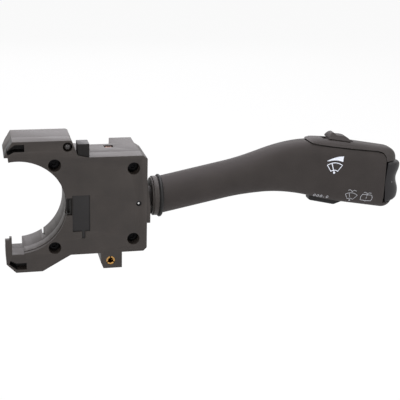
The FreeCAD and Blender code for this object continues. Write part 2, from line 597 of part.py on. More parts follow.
latch = keep(new_body("coupling_latch"))
slope = (s.arm_foot_z - s.body_top) / (s.body_left - s.arm_foot_x)
latch_foot = s.arm_foot_z - slope * (s.latch_left - s.arm_foot_x)
pad(latch, "latch_block", "XZ_Plane", s.latch_front, s.latch_rear - s.latch_front, [
    (s.latch_left, latch_foot), (s.body_left, s.body_top), (s.latch_right, s.body_top),
    (s.latch_right, s.latch_top), (s.latch_left, s.latch_top)])

peg_foot = (s.peg_x, s.peg_well_depth, s.peg_z)
peg_rod = rod("peg_rod", peg_foot, (0, -1, 0), s.peg_radius, s.peg_well_depth - s.peg_ball)
peg_head = ball("peg_head", (s.peg_x, s.peg_ball, s.peg_z), s.peg_ball)
keep(fuse("peg", peg_rod, peg_head), "locating_peg")

insert = keep(new_body("brass_insert", (s.insert_x, s.insert_sink, s.insert_z)))
pad(insert, "insert_barrel", "XZ_Plane", 0, s.insert_length, circles=[(0, 0, s.insert_radius)])
pocket(insert, "insert_thread", "XZ_Plane", 0, s.insert_length, circles=[(0, 0, s.insert_bore)])
slit = pocket(insert, "insert_slit", "XZ_Plane", 0, s.insert_slit_depth, rectangle(
    -s.insert_slit / 2, s.insert_slit / 2, zero, s.insert_radius + s.overrun))
slits = insert.newObject("PartDesign::PolarPattern", "insert_slits")
slits.Originals = [slit]
slits.Axis = (next(f for f in insert.Origin.OriginFeatures if f.Role == "Y_Axis"), [""])
slits.Angle = 360
slits.Occurrences = 3
insert.Tip = slits

screws = []
for number, (x, z) in enumerate(wells):
    seat = s.well_depth - s.screw_head
    head = rod(f"screw_head_{number}", (x, seat, z), (0, 1, 0), s.screw_head_radius, s.screw_head)
    shank = rod(f"screw_shank_{number}", (x, seat, z), (0, 1, 0), s.screw_shank - s.pin_clearance,
                s.screw_head + s.screw_length)
    recess = doc.addObject("Part::Prism", f"screw_recess_{number}")
    recess.Polygon = 6
    recess.Placement = FreeCAD.Placement(Vector(), Rotation(Vector(0, 0, 1), Vector(0, 1, 0)))
    for letter, value in zip("xyz", (x, seat, z)):
        recess.setExpression(f"Placement.Base.{letter}", value.formula)
    recess.setExpression("Circumradius", s.screw_socket.formula)
    recess.setExpression("Height", s.screw_socket_depth.formula)
    screws.append(cut(f"screw_{number}", fuse(f"screw_body_{number}", head, shank), recess))
keep(group("screws", screws), "case_screws")

blade_left = s.contact_slot_left + s.contact_margin
blade_right = s.contact_slot_right - s.contact_margin
blade_front = s.contact_slot_front + s.contact_margin
blade_foot = s.body_top - s.contact_slot_depth
contact_foot = box("contact_foot", (blade_left, blade_front, blade_foot),
                   (blade_right, s.contact_slot_rear, blade_foot + s.contact_blade))
contact_wall = box("contact_wall", (blade_left, blade_front, blade_foot),
                   (blade_right, blade_front + s.contact_blade, s.body_top - s.contact_blade))
contact_top = box("contact_top", (blade_left, blade_front, s.body_top - s.contact_blade * 2),
                  (blade_right, s.contact_slot_rear - s.contact_margin, s.body_top - s.contact_blade))
keep(fuse("contact", contact_foot, contact_wall, contact_top), "earth_contact")

front_pin_end = pivot_y - yoke_inner
front_pin = rod("front_pin", (s.pivot_x, s.pivot_pin_sink, s.pivot_z), (0, 1, 0), s.pivot_pin,
                front_pin_end - s.pivot_pin_sink)
rear_pin = rod("rear_pin", (s.pivot_x, pivot_y + yoke_inner, s.pivot_z), (0, 1, 0), s.pivot_pin,
               rear_floor + s.pivot_pin_seat - pivot_y - yoke_inner)
keep(group("pins", [front_pin, rear_pin]), "pivot_pins")

# Gimbal yoke: two cheeks on the pivot pins, joined above and below the lever's root. Its crossbar
# carries the groove that centres the pull, its slanted barrel the spring that steps the sweep.
centre = (s.pivot_x, pivot_y, s.pivot_z)
yoke = new_body("yoke_frame", centre)
cheek_corners = [
    (s.crossbar_left, s.crossbar_low), (s.yoke_shoulder, -s.yoke_hub), (s.yoke_bridge_left,
        -s.yoke_bridge_high),
    (s.yoke_bridge_right, -s.yoke_bridge_high), (s.yoke_right, -s.yoke_hub), (s.yoke_right, s.yoke_hub),
    (s.yoke_bridge_right, s.yoke_bridge_high), (s.yoke_bridge_left, s.yoke_bridge_high),
    (s.yoke_shoulder, s.crossbar_high), (s.crossbar_left, s.crossbar_high),
]
pad(yoke, "yoke_block", "XZ_Plane", -half_yoke, half_yoke * 2, cheek_corners)
pocket(yoke, "root_room", "XZ_Plane", -yoke_inner, yoke_inner * 2, [
    (s.crossbar_right, s.crossbar_low - s.overrun), (s.crossbar_left - s.overrun, s.crossbar_low - s.overrun),
    (s.crossbar_left - s.overrun, -s.yoke_bridge_low), (s.yoke_right + s.overrun, -s.yoke_bridge_low),
    (s.yoke_right + s.overrun, s.yoke_bridge_low), (s.crossbar_right, s.yoke_bridge_low)])
pocket(yoke, "crossbar_room", "XZ_Plane", -yoke_inner, yoke_inner * 2, rectangle(
    s.crossbar_left - s.overrun, s.crossbar_right + s.overrun, -s.yoke_bridge_low, s.crossbar_low))
pocket(yoke, "pivot_bores", "XZ_Plane", -half_yoke, half_yoke * 2,
       circles=[(0, 0, s.pivot_pin + s.pin_clearance)])
pocket(yoke, "cross_bore", "XY_Plane", -s.yoke_bridge_high, s.yoke_bridge_high * 2,
       circles=[(0, 0, s.cross_pin)])
pocket(yoke, "pull_groove", "XY_Plane", s.crossbar_low - s.overrun, s.crossbar_high, [
    (s.crossbar_right, -s.pull_groove_half), (s.crossbar_right + s.overrun, -s.pull_groove_half),
    (s.crossbar_right + s.overrun, s.pull_groove_half), (s.crossbar_right, s.pull_groove_half),
    (s.crossbar_right - s.pull_groove, zero)])
away = (math.cos(math.radians(s.detent_angle.number)), 0, math.sin(math.radians(s.detent_angle.number)))
detent_y = s.detent_inset - half_yoke


def on_detent_line(radius):
    """A point of the sweep plunger's line, at a radius from the pivot."""
    return (s.pivot_x + cosine(s.detent_angle) * radius, pivot_y + detent_y,
            s.pivot_z + sine(s.detent_angle) * radius)


barrel = rod("sweep_barrel", on_detent_line(s.barrel_start), away, s.barrel_radius,
             s.barrel_end - s.barrel_start)
plunger_start = s.plunger_reach - s.plunger_length
barrel_floor = s.barrel_start + s.barrel_base
barrel_bore = rod("sweep_barrel_bore", on_detent_line(barrel_floor), away,
                  s.plunger_radius + s.plunger_clearance, s.barrel_end - s.barrel_start)
keep(cut("yoke", fuse("yoke_with_barrel", yoke, barrel), barrel_bore), "gimbal_yoke")
keep(rod("cross_pin", (s.pivot_x, pivot_y, s.pivot_z - s.yoke_bridge_high), (0, 0, 1), s.cross_pin,
         s.yoke_bridge_high * 2))


def plunger(name, foot, axis, tip, length):
    """A round-nosed detent plunger."""
    rest = rod(name + "_rod", foot, axis, s.plunger_radius, length - s.plunger_radius)
    return fuse(name, rest, ball(name + "_nose", tip, s.plunger_radius))


keep(plunger("sweep_plunger", on_detent_line(plunger_start), away,
             on_detent_line(s.plunger_reach - s.plunger_radius), s.plunger_length))


wire_sides = 6


def coil(name, foot, axis, length, turns):
    """A round-wire compression spring that starts at a foot and runs along an axis."""
    wire = s.spring_wire.number
    middle = s.plunger_radius.number - wire - s.pin_clearance.number
    pitch = (length.number - 2 * wire) / turns
    helix = Part.makeHelix(pitch, pitch * turns, middle)
    turns_of_wire = [2 * math.pi * corner / wire_sides for corner in range(wire_sides + 1)]
    ring = Part.makePolygon([Vector(middle + wire * math.cos(angle), 0, wire * math.sin(angle))
                             for angle in turns_of_wire])
    spring = Part.Wire(helix.Edges).makePipeShell([ring], True, True)
    spring.translate(Vector(0, 0, wire))
    spring.Placement = FreeCAD.Placement(Vector(*(v.number for v in foot)),
                                         Rotation(Vector(0, 0, 1), Vector(*axis))) * spring.Placement
    return feature(name, spring)


keep(coil("sweep_spring", on_detent_line(barrel_floor), away, plunger_start - barrel_floor, 2))

track_front = s.front_wall - pivot_y
track_rear = detent_y + s.track_half
track = new_body("track_sector", centre)
pad(track, "track_ring", "XZ_Plane", track_front, track_rear - track_front, circles=[
    (0, 0, s.track_outer), (0, 0, s.track_radius)])
first_notch = s.detent_angle - s.sweep_step
notch_ring = s.track_radius + s.notch_lift
notch = pocket(track, "track_notch", "XZ_Plane", track_front, track_rear - track_front, circles=[
    (cosine(first_notch) * notch_ring, sine(first_notch) * notch_ring, s.notch_radius)])
notches = track.newObject("PartDesign::PolarPattern", "track_notches")
notches.Originals = [notch]
notches.Axis = (next(f for f in track.Origin.OriginFeatures if f.Role == "Y_Axis"), [""])
notches.setExpression("Angle", (s.sweep_step * 4).formula)
notches.Reversed = True
notches.Occurrences = 5
track.Tip = notches
far = s.track_outer * 2
track_start = first_notch - s.track_lead
track_end = first_notch + s.sweep_step * 4 + s.track_tail
wedge = new_body("track_wedge", centre)
pad(wedge, "wedge", "XZ_Plane", track_front - s.overrun, far, [
    (zero, zero), (cosine(track_end) * far, sine(track_end) * far),
    (cosine(track_start) * far, sine(track_start) * far)])
keep(common("track", track, wedge), "sweep_detent_track")


# Handle. A round tube rises from the collar, bends, and becomes a flat head. Its cross-section is
# a superellipse that grows taller, thinner and squarer along the lever.
rise = tangent(s.tube_rise)
fall = tangent(s.head_fall)
lean = tangent(s.tube_lean)
bend_length = s.bend_end - s.bend_start
bend_end_z = s.tube_start_z + rise * (s.bend_start - s.tube_start) + (rise - fall) * bend_length / 2
head_y = pivot_y - lean * (s.bend_start - s.tube_start) - lean * bend_length / 2


def line_z(x):
    """Height of the straight head's centre line, as a formula."""
    return bend_end_z - fall * (x - s.bend_end)


def centre_at(x):
    """The centre line's Y and Z at a station: straight, then evenly bent, then straight."""
    straight = min(x, s.bend_start.number) - s.tube_start.number
    bent = min(max(x - s.bend_start.number, 0), bend_length.number)
    after = max(x - s.bend_end.number, 0)
    turn = bent * bent / (2 * bend_length.number)
    y = pivot_y.number - lean.number * (straight + bent - turn)
    z = s.tube_start_z.number + rise.number * (straight + bent)
    z = z - (rise.number + fall.number) * turn - fall.number * after
    return y, z


def section_at(x, inset):
    """Half thickness, half height and squareness of the handle at a station."""
    share = (x - s.morph_start.number) / (s.morph_end.number - s.morph_start.number)
    share = min(max(share, 0), 1)
    blend = share * share * (3 - 2 * share)
    radius = s.tube_radius.number
    half_y = radius + (s.head_half_thickness.number - radius) * blend - inset
    half_z = radius + (s.head_half_height.number - radius) * blend - inset
    return half_y, half_z, 2 + (s.head_squareness.number - 2) * blend


ring_points = 20
ring_steps = list(range(ring_points + 1))
station_spacing = 13.0


def ring_at(x, inset):
    """The handle's outline at a station, or the same outline sunk by an inset."""
    y, z = centre_at(x)
    half_y, half_z, power = section_at(x, inset)
    ring = []
    for number in range(ring_points):
        angle = 2 * math.pi * number / ring_points
        across, up = math.cos(angle), math.sin(angle)
        ring.append(Vector(x, y + half_y * math.copysign(abs(across) ** (2 / power), across),
                           z + half_z * math.copysign(abs(up) ** (2 / power), up)))
    curve = Part.BSplineCurve()
    curve.interpolate(Points=ring, PeriodicFlag=True, Parameters=ring_steps)
    return Part.Wire([curve.toShape()])


def handle_loft(start, end, inset=0.0):
    """The handle's form between two stations: a slanting prism, then a loft from the first change on."""
    turn = min(max(s.morph_start.number, start), end)
    run = Vector(turn - start, *(last - first for first, last in zip(centre_at(start), centre_at(turn))))
    tube = Part.Face(ring_at(start, inset)).extrude(run) if turn > start else None
    if turn == end:
        return tube
    count = max(2, int(round((end - turn) / station_spacing)) + 1)
    stations = [turn + (end - turn) * number / (count - 1) for number in range(count)]
    head = Part.makeLoft([ring_at(x, inset) for x in stations], True, False)
    return head.fuse(tube) if tube else head


tall = s.tool_reach.number


def slab(left, right, low, high, front=-tall, rear=tall):
    """A block from its sides in X and Z, as deep as the whole part unless told."""
    return Part.makeBox(right - left, rear - front, high - low, Vector(left, front, low))


def nose_form(reach):
    """What a rounded end leaves in plan: everything before the nose, then half an ellipse."""
    start = s.nose_start.number
    width = s.head_half_thickness.number + s.nose_margin.number
    ellipse = Part.Ellipse(Vector(start, head_y.number, -tall), reach - start, width)
    disc = Part.Face(Part.Wire(ellipse.toShape())).extrude(Vector(0, 0, 2 * tall))
    return disc.fuse(slab(0, start, -tall, tall))


def end_corners():
    """What the two rounded corners leave of the head's end, seen from the side."""
    end = s.handle_end.number
    parts = []
    levels = []
    for side, radius in ((1, s.top_corner.number), (-1, s.under_corner.number)):
        x = end - radius
        half = section_at(x, 0)[1]
        z = centre_at(x)[1] + side * (half - radius / math.cos(math.radians(s.head_fall.number)))
        parts.append(Part.makeCylinder(radius, 2 * tall, Vector(x, -tall, z), Vector(0, 1, 0)))
        parts.append(slab(0, x, min(z, side * tall), max(z, side * tall)))
        levels.append(z)
    parts.append(slab(0, end, levels[1], levels[0]))
    return parts[0].multiFuse(parts[1:])


def parting(front):
    """Everything in front of, or behind, the handle's centre line in plan."""
    start, first, last = s.tube_start.number, s.bend_start.number, s.bend_end.number
    stations = [start - tall, start, first, (first + last) / 2, last, s.handle_end.number + tall]
    line = [Vector(x, centre_at(max(x, start))[0], -tall) for x in stations]
    side = -tall if front else tall
    corners = line + [Vector(line[-1].x, side, -tall), Vector(line[0].x, side, -tall), line[0]]
    return Part.Face(Part.makePolygon(corners)).extrude(Vector(0, 0, 2 * tall))


def crown(x):
    return centre_at(x)[1] + section_at(x, 0)[1]


def strip_region():
    """Everything above the seam between the trim strip and the handle's two shells."""
    tip = s.strip_tip.number
    seam = [(tip - tall, tall), (tip, crown(tip) + s.strip_lead.number)]
    for x in (s.strip_full.number, s.strip_corner_x.number):
        seam.append((x, crown(x) - s.strip_drop.number))
    seam.append((s.strip_foot_x.number, s.strip_foot_z.number))
    seam.append((s.handle_end.number + tall, s.strip_foot_z.number))
    seam.append((s.handle_end.number + tall, tall))
    corners = [Vector(x, -tall, z) for x, z in seam]
    return Part.Face(Part.makePolygon(corners + corners[:1])).extrude(Vector(0, 2 * tall, 0))


def on_head(x, z, along, across, up):
    """A block square to the sloping head: its middle on the head's line, its ranges from there."""
    block = Part.makeBox(along[1] - along[0], across[1] - across[0], up[1] - up[0],
                         Vector(along[0], across[0], up[0]))
    block.Placement = FreeCAD.Placement(Vector(x, head_y.number, z),
                                        Rotation(Vector(0, 1, 0), s.head_fall.number))
    return block


wall = s.handle_wall.number
end_x = s.handle_end.number
outer = handle_loft(s.tube_start.number, end_x + wall).common(end_corners()).common(nose_form(end_x))
hollow = handle_loft(s.tube_start.number - wall, s.hollow_end.number, wall)
skin = outer.cut(hollow)
window = slab(s.rocker_window_left.number, end_x + wall * 3, s.rocker_bottom.number - s.rocker_gap.number,
              s.rocker_top.number + s.rocker_gap.number)
skin = skin.cut(window)

knob_crown = line_z(s.knob_x) + s.head_half_height
key_crown = line_z(s.key_x) - s.head_half_height
knob_slot_length = s.knob_length / 2 + s.knob_travel + s.knob_gap
knob_slot = on_head(s.knob_x.number, knob_crown.number, (-knob_slot_length.number, knob_slot_length.number),
                    (-s.knob_slot_half.number, s.knob_slot_half.number), (-wall * 2, wall * 2))
key_half = (s.key_length / 2 + s.key_gap).number
key_side = (s.key_half_width + s.key_gap).number
key_opening = on_head(s.key_x.number, key_crown.number, (-key_half, key_half), (-key_side, key_side),
                      (-wall * 2, wall * 2))
raised = outer.translated(Vector(0, 0, s.strip_proud.number))
strip = raised.common(strip_region()).cut(hollow).cut(window).cut(knob_slot)
body_skin = skin.cut(strip_region()).cut(knob_slot).cut(key_opening)
keep(feature("handle_front_shell", body_skin.common(parting(True))))
keep(feature("handle_rear_shell", body_skin.common(parting(False))))
keep(feature("trim_strip", strip))

# Lever root: a block on the upright pin, a finger with two balls behind it, a round neck, and a
# hollow spigot that fills the handle's tube.
block = new_body("root_block", centre)
pad(block, "root_slab", "XZ_Plane", -root_half_width, root_half_width * 2, [
    (s.root_left, -s.root_half_height + s.root_bevel), (s.root_left + s.root_bevel, -s.root_half_height),
    (s.root_right - s.root_bevel, -s.root_half_height), (s.root_right, -s.root_half_height + s.root_bevel),
    (s.root_right, s.root_half_height - s.root_bevel), (s.root_right - s.root_bevel, s.root_half_height),
    (s.root_left + s.root_bevel, s.root_half_height), (s.root_left, s.root_half_height - s.root_bevel)])
pad(block, "neck", "YZ_Plane", s.root_right - s.root_bevel * 2,
    s.tube_start - s.pivot_x + wall - s.root_right + s.root_bevel * 2, circles=[(0, 0, s.neck_radius)])
waist = root(s.ball_radius * s.ball_radius - s.finger_radius * s.finger_radius)
finger_sketch = new_sketch(block, "finger_profile", "XZ_Plane", 0)
draw_outline(finger_sketch, [
    (-s.pull_ball - s.ball_radius, zero), (waist - s.pull_ball, s.finger_radius),
    (-s.sweep_ball - waist, s.finger_radius), (waist - s.sweep_ball, s.finger_radius),
    (s.root_left + s.root_bevel, s.finger_radius), (s.root_left + s.root_bevel, zero)], {
        0: ((-s.pull_ball, zero), s.ball_radius, False), 2: ((-s.sweep_ball, zero), s.ball_radius, False)})
finger = block.newObject("PartDesign::Revolution", "finger")
finger.Profile = finger_sketch
finger.ReferenceAxis = (finger_sketch, ["H_Axis"])
finger.Angle = 360
block.Tip = finger
spigot_inset = wall + s.spigot_clearance.number
spigot_solid = handle_loft(s.tube_start.number, s.spigot_end.number, spigot_inset)
spigot_room = handle_loft(s.tube_start.number + wall, s.spigot_end.number + wall,
                          spigot_inset + s.spigot_wall.number)
spigot = feature("spigot", spigot_solid.cut(spigot_room))
cross_bore = rod("root_cross_bore", (s.pivot_x, pivot_y, s.pivot_z - tall / 2), (0, 0, 1),
                 s.cross_pin + s.pin_clearance, tall)
plunger_bore = rod("root_plunger_bore", (s.pivot_x + s.pull_plunger_bottom, pivot_y,
                                         s.pivot_z + s.pull_plunger_z), (-1, 0, 0),
                   s.plunger_radius + s.plunger_clearance, -s.root_left)
wire_bore = rod("root_wire_bore", (s.pivot_x + s.wire_bore_start, pivot_y, s.pivot_z), (1, 0, 0),
                s.wire_bore, s.tube_start - s.pivot_x)
lever = cut("lever", fuse("lever_solid", block, spigot),
            cross_bore, plunger_bore, wire_bore)
keep(lever, "lever_arm")
pull_line_z = s.pivot_z + s.pull_plunger_z
keep(plunger("pull_plunger", (s.pivot_x + s.pull_plunger_start, pivot_y, pull_line_z), (-1, 0, 0),
             (s.pivot_x + s.pull_plunger_tip + s.plunger_radius, pivot_y, pull_line_z),
             s.pull_plunger_start - s.pull_plunger_tip))
keep(coil("pull_spring", (s.pivot_x + s.pull_plunger_bottom, pivot_y, pull_line_z), (-1, 0, 0),
          s.pull_plunger_bottom - s.pull_plunger_start, 3))

collar = keep(new_body("lever_collar", centre))
collar_sketch = new_sketch(collar, "collar_profile", "XZ_Plane", 0)
collar_seat = s.collar_left + s.collar_width
collar_end = s.tube_start - s.pivot_x - s.seal_gap
draw_outline(collar_sketch, [
    (s.collar_left, s.neck_radius), (collar_end, s.neck_radius), (collar_end, s.seal_seat_radius),
    (collar_seat, s.seal_seat_radius), (collar_seat, s.collar_radius),
    (s.collar_left + s.collar_lip, s.collar_radius), (s.collar_left + s.collar_lip, s.collar_lip_radius),
    (s.collar_left, s.collar_lip_radius)])
turned = collar.newObject("PartDesign::Revolution", "collar_ring")
turned.Profile = collar_sketch
turned.ReferenceAxis = (collar_sketch, ["H_Axis"])
turned.Angle = 360
collar.Tip = turned

seal = keep(new_body("root_seal", centre))
seal_sketch = new_sketch(seal, "seal_profile", "XZ_Plane", 0)
seal_left = collar_seat + s.pin_clearance
seal_right = seal_left + s.seal_radius * 2
seal_top = s.seal_seat_radius + s.seal_radius * 2
draw_outline(seal_sketch, [
    (seal_left, s.seal_seat_radius), (seal_right, s.seal_seat_radius), (seal_right, seal_top - s.seal_bevel),
    (seal_right - s.seal_bevel, seal_top), (seal_left + s.seal_bevel, seal_top),
    (seal_left, seal_top - s.seal_bevel)])
ring = seal.newObject("PartDesign::Revolution", "seal_ring")
ring.Profile = seal_sketch
ring.ReferenceAxis = (seal_sketch, ["H_Axis"])
ring.Angle = 360
seal.Tip = ring

# Head. A carrier plate holds the printed board, its switches and the rocker's pin.
board_y = head_y + s.board_front
carrier_y = board_y + s.board_thick
board_corners = [
    (s.board_left, line_z(s.board_left) - s.board_half),
    (s.board_right, line_z(s.board_right) - s.board_half),
    (s.board_right, line_z(s.board_right) + s.board_half),
    (s.board_left, line_z(s.board_left) + s.board_half)]
board = keep(new_body("key_board"))
pad(board, "board_plate", "XZ_Plane", board_y, s.board_thick, board_corners)

ear_low = s.rocker_pivot_z - s.ear_half_height
ear_high = s.rocker_pivot_z + s.ear_half_height
carrier_plate = new_body("carrier_plate")
pad(carrier_plate, "carrier_slab", "XZ_Plane", carrier_y, s.carrier_thick, board_corners)
ear_range = rectangle(s.board_right - s.overrun, s.ear_right, ear_low, ear_high)
pad(carrier_plate, "rear_ear", "XZ_Plane", head_y + s.ear_inner, s.ear_outer - s.ear_inner, ear_range)
pad(carrier_plate, "ear_web", "XZ_Plane", head_y - s.ear_outer, s.ear_outer * 2,
    rectangle(s.web_left, s.web_right, ear_low, ear_high))
pad(carrier_plate, "front_ear", "XZ_Plane", head_y - s.ear_outer, s.ear_outer - s.ear_inner,
    rectangle(s.web_left, s.ear_right, ear_low, ear_high))
pocket(carrier_plate, "ear_bores", "XZ_Plane", head_y - s.ear_outer, s.ear_outer * 2,
       circles=[(s.rocker_pivot_x, s.rocker_pivot_z, s.rocker_pin)])
keep(carrier_plate, "head_carrier")
keep(rod("rocker_pin", (s.rocker_pivot_x, head_y - s.rocker_pin_half, s.rocker_pivot_z), (0, 1, 0),
         s.rocker_pin, s.rocker_pin_half * 2))

switches = []
for number, side in enumerate((-1, 1)):
    middle_z = s.rocker_pivot_z + s.rocker_switch_z * side
    case = box(f"rocker_switch_case_{number}",
               (s.rocker_switch_x, board_y - s.switch_depth, middle_z - s.switch_side / 2),
               (s.rocker_switch_x + s.switch_side, board_y, middle_z + s.switch_side / 2))
    nib = rod(f"rocker_switch_nib_{number}",
              (s.rocker_switch_x + s.switch_side / 2, board_y - s.switch_depth / 2, middle_z), (1, 0, 0),
              s.switch_nib_radius, s.switch_side / 2 + s.switch_nib)
    switches.append(fuse(f"rocker_switch_{number}", case, nib))
keep(group("rocker_switch_pair", switches), "rocker_switches")

key_place = (s.key_x, head_y, key_crown)
key_switch = new_body("reset_switch", key_place, s.head_fall)
pad(key_switch, "switch_case", "XZ_Plane", s.board_front - s.switch_depth, s.switch_depth, rectangle(
    -s.switch_side / 2, s.switch_side / 2, s.key_switch_low, s.key_switch_low + s.switch_side))
pad(key_switch, "switch_nib", "XY_Plane", s.key_switch_low - s.switch_nib, s.switch_side / 2 + s.switch_nib,
    circles=[(0, s.board_front - s.switch_depth / 2, s.switch_nib_radius)])
keep(key_switch)

key = keep(new_body("reset_button", key_place, s.head_fall))
half_key = s.key_length / 2
pad(key, "key_block", "XZ_Plane", -s.key_half_width, s.key_half_width * 2, [
    (-half_key, -s.key_edge), (-half_key + s.key_bevel_left, -s.key_proud),
    (half_key - s.key_bevel_right, -s.key_proud),
    (half_key, -s.key_edge), (half_key, s.key_inside), (-half_key, s.key_inside)])
pad(key, "key_flange", "XY_Plane", s.key_inside, s.key_flange, rectangle(
    -half_key - s.key_flange_edge, half_key + s.key_flange_edge,
    -s.key_half_width - s.key_flange_side, s.key_half_width + s.key_flange_side))
pad(key, "key_stem", "XY_Plane", s.key_inside, s.key_stem_top - s.key_inside,
    circles=[(0, s.board_front - s.switch_depth / 2, s.key_stem)])

# Slide knob on the strip: a nib and a dome on a base that runs in the slot.
knob = keep(new_body("interval_knob", (s.knob_x, head_y, knob_crown), s.head_fall))
half_knob = s.knob_length / 2
knob_line = [(-half_knob, s.knob_float), (half_knob, s.knob_float)]
knob_line += [(getattr(s, f"knob_{spot}_x"), getattr(s, f"knob_{spot}_z")) for spot in (
    "tail", "back", "crest", "waist", "step", "peak", "brow")]
pad(knob, "knob_top", "XZ_Plane", -s.knob_half_width, s.knob_half_width * 2,
    [(x, z + s.strip_proud) for x, z in knob_line])
pad(knob, "knob_base", "XY_Plane", -s.knob_flange_top - s.knob_float,
    s.knob_flange_top + s.knob_float * 2 + s.strip_proud,
    rectangle(-half_knob, half_knob, -s.knob_slot_half + s.knob_gap, s.knob_slot_half - s.knob_gap))
pad(knob, "knob_flange", "XY_Plane", -s.knob_flange_top - s.knob_flange, s.knob_flange, rectangle(
    s.knob_flange_end - half_knob, half_knob - s.knob_flange_end, -s.knob_flange_half, s.knob_flange_half))
pad(knob, "knob_fin", "XZ_Plane", s.board_front - s.brush_clearance - s.knob_fin, s.knob_fin, rectangle(
    -s.knob_fin_half, s.knob_fin_half, -s.knob_fin_bottom, -s.knob_flange_top))
brush = keep(new_body("knob_brush", (s.knob_x, head_y, knob_crown), s.head_fall))
pad(brush, "brush_plate", "XZ_Plane", s.board_front - s.brush_clearance, s.brush_blade, rectangle(
    -s.brush_half, s.brush_half, -s.knob_fin_bottom, -s.knob_fin_bottom + s.brush_height))

# Rocker in the head's end: two bumps with a finger hollow between, rounded in plan like the head.
rocker_body = new_body("rocker_body")
pad(rocker_body, "rocker_slab", "XZ_Plane", head_y - s.head_half_thickness * 2,
    s.head_half_thickness * 4, [
        (s.rocker_left, s.rocker_pivot_z), (s.rocker_ends_left, s.rocker_bottom),
        (s.rocker_right, s.rocker_bottom), (s.rocker_right, s.rocker_top), (s.rocker_ends_left,
            s.rocker_top)])
soften(rocker_body, "rocker_rounds", s.rocker_round, lambda edge: (
    along_y(edge, s.rocker_right, s.rocker_top) or along_y(edge, s.rocker_right, s.rocker_bottom)))
pocket(rocker_body, "finger_hollow", "XZ_Plane", head_y - s.head_half_thickness * 2,
       s.head_half_thickness * 4, circles=[
           (s.rocker_right - s.rocker_dip + s.rocker_hollow, s.rocker_pivot_z, s.rocker_hollow)])
pocket(rocker_body, "rocker_room", "XZ_Plane", head_y - s.rocker_room, s.rocker_room * 2, rectangle(
    s.rocker_left - s.overrun, s.room_right, s.rocker_bottom + s.rocker_wall, s.rocker_top - s.rocker_wall))
pocket(rocker_body, "rocker_bores", "XZ_Plane", head_y - s.rocker_pin_half - s.pin_clearance,
       (s.rocker_pin_half + s.pin_clearance) * 2,
       circles=[(s.rocker_pivot_x, s.rocker_pivot_z, s.rocker_pin + s.pin_clearance)])
for name, side in (("lower_leg", -1), ("upper_leg", 1)):
    middle_z = s.rocker_pivot_z + s.rocker_switch_z * side
    pad(rocker_body, name, "XZ_Plane", head_y + s.leg_front, s.leg_rear - s.leg_front, rectangle(
        s.leg_tip, s.room_right + s.pin_clearance, middle_z - s.leg_half, middle_z + s.leg_half))
keep(common("rocker", rocker_body, feature("rocker_nose", nose_form(s.rocker_reach.number))), "end_rocker")

# Wires of the head, one bundle from the lever's root through the tube to the board.
route = [Vector(x.number, pivot_y.number, s.pivot_z.number) for x in (s.wire_start, s.wire_free)]
for x, sag in ((s.wire_turn_first, 0), (s.wire_turn_second, s.wire_sag), (s.bend_start, 0),
               (s.wire_turn_last, s.wire_sag), (s.board_left - s.wire_gap, 0)):
    y, z = centre_at(x.number)
    route.append(Vector(x.number, y, z - as_size(sag).number))


def rounded_path(points):
    """Straight runs joined by arcs that touch both, each as large as its runs allow."""
    edges = []
    last = points[0]
    for before, corner, after in zip(points, points[1:], points[2:]):
        back, ahead = (before - corner), (after - corner)
        run = s.wire_bend_share.number * min(back.Length, ahead.Length)
        start = corner + back.normalize() * run
        end = corner + ahead.normalize() * run
        turn = back.getAngle(ahead)
        depth = run * math.tan(turn / 2)
        print("bend radius", round(depth, 1))
        centre_line = (back + ahead).normalize()
        hub = corner + centre_line * (run / math.cos(turn / 2))
        middle = hub - centre_line * depth
        edges.append(Part.LineSegment(last, start).toShape())
        edges.append(Part.Arc(start, middle, end).toShape())
        last = end
    edges.append(Part.LineSegment(last, points[-1]).toShape())
    return Part.Wire(edges)


path = rounded_path(route)
wire_ring = Part.Wire(Part.makeCircle(s.wire_radius.number, route[0], route[1] - route[0]))
bundle = path.makePipeShell([wire_ring], True, False)
filled = bundle.Volume / (math.pi * s.wire_radius.number ** 2 * path.Length)
print("wires", round(filled, 4), round(path.Length, 1))
keep(feature("lever_harness", bundle))

# Contact plate behind the mechanism, its printed tracks and terminals, and the two slides.
contact_plate = keep(new_body("contact_board"))
margin = s.plate_margin
pad(contact_plate, "plate_slab", "XZ_Plane", plate_front, s.track_plate, [
    (s.cavity_left + margin, s.cavity_bottom + margin), (s.boss_left - margin, s.cavity_bottom + margin),
    (s.boss_left - margin, s.boss_lower + margin), (s.cavity_right - margin, s.boss_lower + margin),
    (s.cavity_right - margin, s.boss_upper - margin), (s.boss_left - margin, s.boss_upper - margin),
    (s.boss_left - margin, s.cavity_top - margin), (s.cavity_left + margin, s.cavity_top - margin)])
post_front = slide_carrier_front + s.post_gap
pad(contact_plate, "guide_post", "XZ_Plane", pivot_y + post_front, plate_front - pivot_y - post_front,
    rectangle(s.pivot_x + s.post_left, s.pivot_x + s.post_right,
              s.pivot_z + s.post_low, s.pivot_z + s.post_high))
pocket(contact_plate, "plate_pin_hole", "XZ_Plane", plate_front, s.track_plate,
       circles=[(s.pivot_x, s.pivot_z, s.plate_hole)])
pocket(contact_plate, "plate_terminal_holes", "XZ_Plane", plate_front, s.track_plate,
       loops=[pin_section(x, z) for x, z in pin_places if z.number < s.boss_upper.number])

